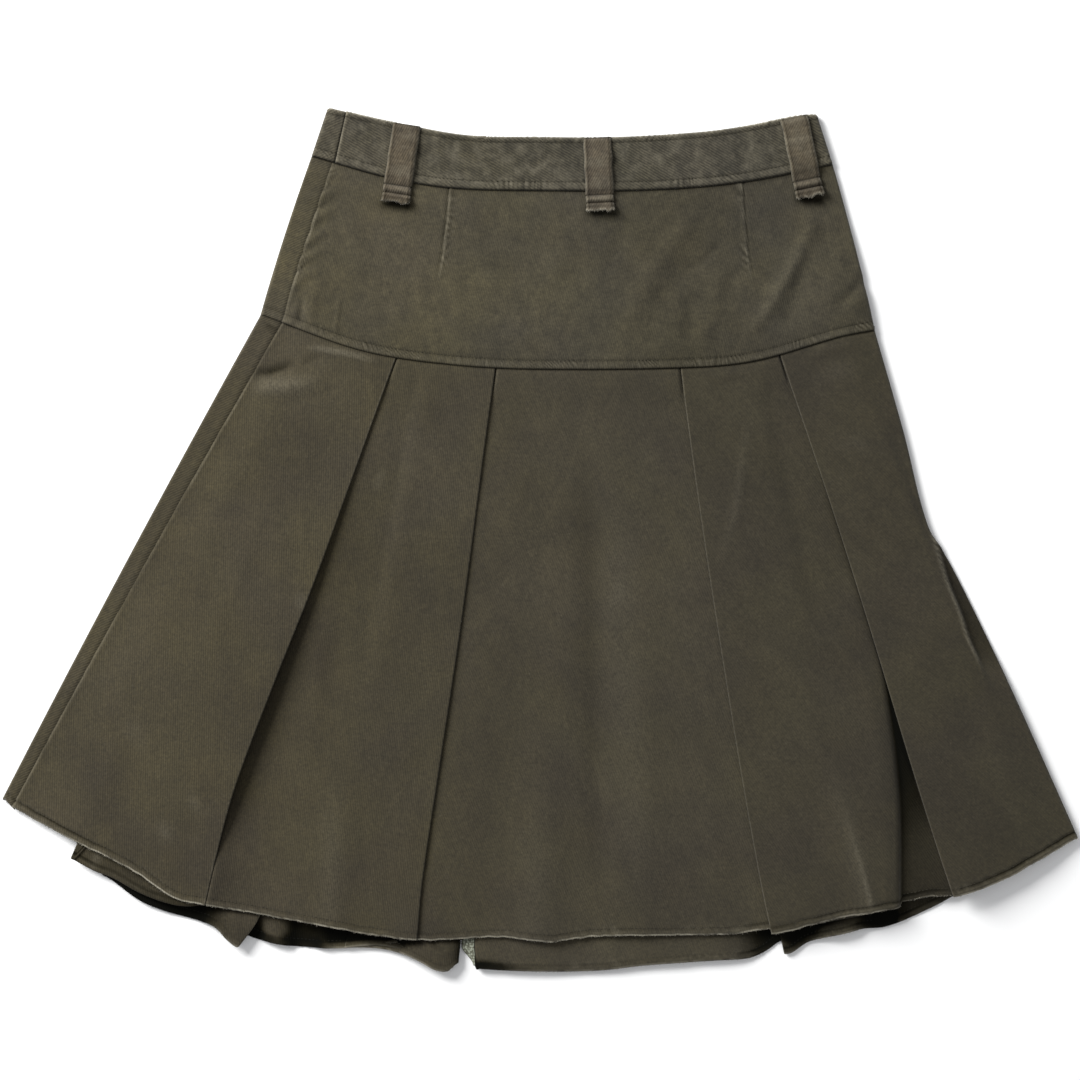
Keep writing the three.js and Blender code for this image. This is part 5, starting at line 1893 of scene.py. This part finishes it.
class SKIRT_OT_stitching(bpy.types.Operator):
    """Topstitching of the band, yoke and hem, and the bar tacks of the belt loops"""

    bl_idname = "skirt.stitching"
    bl_label = "Stitching"
    bl_options = {"REGISTER", "UNDO"}

    def execute(self, context):
        sizes, colours = settings()
        s = Shape(sizes)
        rng = np.random.default_rng(101)
        stitch, thread = sizes.stitch / MM, sizes.thread / MM
        # Spun polyester-cotton thread, dyed with the garment: matt, dark and slightly twisted
        material = thready(
            "Garment-dyed sewing thread",
            ("TexNoise", {"Scale": 1 / (9 * MM), "Detail": 3.0}), (0.35, 0.75),
            colours.thread, linear("#403c2f"),
            ("TexNoise", {"Scale": 1 / (0.5 * MM)}, 0.4, 0.1 * MM),
            {"Roughness": 0.8, "IOR": 1.5, "Specular IOR Level": 0.3},
        )
        band_front, band_back = band_cloths(s)
        yoke_front = yoke_cloths(s)[0]
        front, back = skirt_cloths(s)
        band, strip = facing_up(band_front, ("band",)), facing_up(band_back, ("strip",), True)
        low, flaps = facing_up(back, "ABCDE"), facing_up(back, ("flap",))
        yoke, thin = facing_up(yoke_front, ("yoke",)), s.cloth - 0.3
        # Rows of stitches: cloth, how far in from which edge, its wall and side, where, and its shade
        rows = {
            "band_topstitching": [
                (band_front, BAND_UPPER_STITCH, s.band_cloth, 1, True, band, 0),
                (band_front, BAND_LOWER_STITCH, s.band_cloth, 1, False, band, 0),
                (band_back, BAND_UPPER_STITCH, s.band_cloth, -1, True, strip, 0),
                (band_back, BAND_LOWER_STITCH, s.band_cloth, -1, False, strip, 0),
            ],
            "yoke_topstitching": [(yoke_front, YOKE_STITCH, s.cloth, 1, False, yoke, 0)],
            "front_hem_stitching": [
                (front, HEM_STITCH, s.cloth, 1, False, facing_up(front, "ABCDE"), 0),
            ],
            # The back's hem stitches get the painted shade of the strip they lie on
            "back_hem_stitching": [
                (back, HEM_STITCH, s.cloth, -1, False, low, 0),
                (back, HEM_STITCH, thin, 1, False, low, BACK_LOW_SHADE),
                (back, HEM_STITCH, thin, 1, False, flaps, BACK_TOP_SHADE),
            ],
        }
        for name, jobs in rows.items():
            parts, shades = [], []
            for cloth, distance, wall, side, from_top, columns, shade in jobs:
                for run in unbroken(columns):
                    path, ups = row_across(cloth, distance, wall, side, from_top, run)
                    parts.append(sew_along(path, ups, stitch, thread, rng))
                    shades.append(shade)
            put_small(name, parts, shades, material)

        parts = []
        for place in LOOPS.values():
            cloth, _, wall = loop_strap(s, sizes, **place)
            normals = normals_of(points_of(cloth))
            surface = points_of(cloth) + normals * wall / 2
            row, middle = np.argmin(np.abs(cloth.t[:, 0] - TACK)), surface.shape[1] // 2
            down = unit(surface[row + 1, middle] - surface[row - 1, middle])
            points, up = resample(surface[row, 1:-1], normals[row, 1:-1], 0.5)
            parts.append(stitch_mesh(points - down * 0.9, points + down * 0.9, up, thread * 0.55))
        put_small("bar_tacks", parts, [0] * len(parts), material)
        return {"FINISHED"}


class SKIRT_OT_fraying(bpy.types.Operator):
    """Loose yarns at the raw hem, the waist's rubbed edge and the ends of the belt loops"""

    bl_idname = "skirt.fraying"
    bl_label = "Fraying"
    bl_options = {"REGISTER", "UNDO"}

    def execute(self, context):
        sizes, colours = settings()
        s = Shape(sizes)
        rng = np.random.default_rng(202)
        front, back = skirt_cloths(s)
        # Frayed cotton yarn: soft, open fibres whose undyed hearts show, so it looks pale and matt
        material = thready(
            "Frayed cotton yarn",
            ("TexNoise", {"Scale": 1 / (3 * MM), "Detail": 2.0}), (0.35, 0.65),
            linear("#4a4538"), colours.raw, None,
            {"Roughness": 0.95, "IOR": 1.45, "Specular IOR Level": 0.2, "Sheen Weight": 0.2},
        )
        longest = sizes.fray / MM
        low, flaps = facing_up(back, "ABCDE"), facing_up(back, ("flap",))
        for name, cloth, every, jobs in (
            ("front_hem_fray", front, 0.24, [(facing_up(front, "ABCDE"), 0)]),
            # The back's loose yarns get the painted shade of the strip they hang from
            ("back_hem_fray", back, 0.5, [(low, BACK_LOW_SHADE), (flaps, BACK_TOP_SHADE)]),
        ):
            parts, shades = [], []
            for columns, shade in jobs:
                for run in unbroken(columns):
                    parts.append(fray_along(cloth, s.cloth, every, 0.6 * longest, 0.15, rng, run))
                    parts.append(fray_along(cloth, s.cloth, every * 7, longest, 0.1, rng, run))
                    shades += [shade, shade]
            put_small(name, parts, shades, material)
        band = band_cloths(s)[0]
        fluffy = [c for c in facing_up(band, ("band",)) if not -104 < band.x[0, c] < 150]
        parts = [fray_along(band, s.band_cloth, 0.4, 1.5, 0.11, rng, run, 0) for run in unbroken(fluffy)]
        put_small("waist_edge_fray", parts, [0] * len(parts), material)
        parts = []
        for place in LOOPS.values():
            cloth, _, wall = loop_strap(s, sizes, **place)
            parts.append(fray_along(cloth, wall, 0.16, 2.0, 0.1, rng, range(cloth.x.shape[1])))
        shades = [0.75 - place["pale"] for place in LOOPS.values()]
        put_small("belt_loop_fray", parts, shades, material)
        return {"FINISHED"}


OPERATORS = (
    SKIRT_OT_stage, SKIRT_OT_skirt, SKIRT_OT_seam_allowance, SKIRT_OT_yokes, SKIRT_OT_waistbands,
    SKIRT_OT_belt_loops, SKIRT_OT_stitching, SKIRT_OT_fraying,
)


class SKIRT_PT_panel(bpy.types.Panel):
    """Lists the skirt's pieces, sizes and colours"""

    bl_label = "Pleated chino skirt"
    bl_idname = "SKIRT_PT_panel"
    bl_space_type = "VIEW_3D"
    bl_region_type = "UI"
    bl_category = "Skirt"

    def draw(self, context):
        column = self.layout.column(align=True)
        for operator in OPERATORS:
            column.operator(operator.bl_idname)
        for group in (context.scene.skirt_sizes, context.scene.skirt_colours):
            column = self.layout.column()
            for name in type(group).__annotations__:
                column.prop(group, name)


CLASSES = (SkirtSizes, SkirtColours, *OPERATORS, SKIRT_PT_panel)


def register():
    for cls in CLASSES:
        bpy.utils.register_class(cls)
    bpy.types.Scene.skirt_sizes = bpy.props.PointerProperty(type=SkirtSizes)
    bpy.types.Scene.skirt_colours = bpy.props.PointerProperty(type=SkirtColours)


def unregister():
    del bpy.types.Scene.skirt_colours
    del bpy.types.Scene.skirt_sizes
    for cls in reversed(CLASSES):
        bpy.utils.unregister_class(cls)


def main():
    register()
    bpy.ops.skirt.stage()
    bpy.ops.skirt.skirt()
    bpy.ops.skirt.seam_allowance()
    bpy.ops.skirt.yokes()
    bpy.ops.skirt.waistbands()
    bpy.ops.skirt.belt_loops()
    bpy.ops.skirt.stitching()
    bpy.ops.skirt.fraying()


if __name__ == "__main__":
    main()
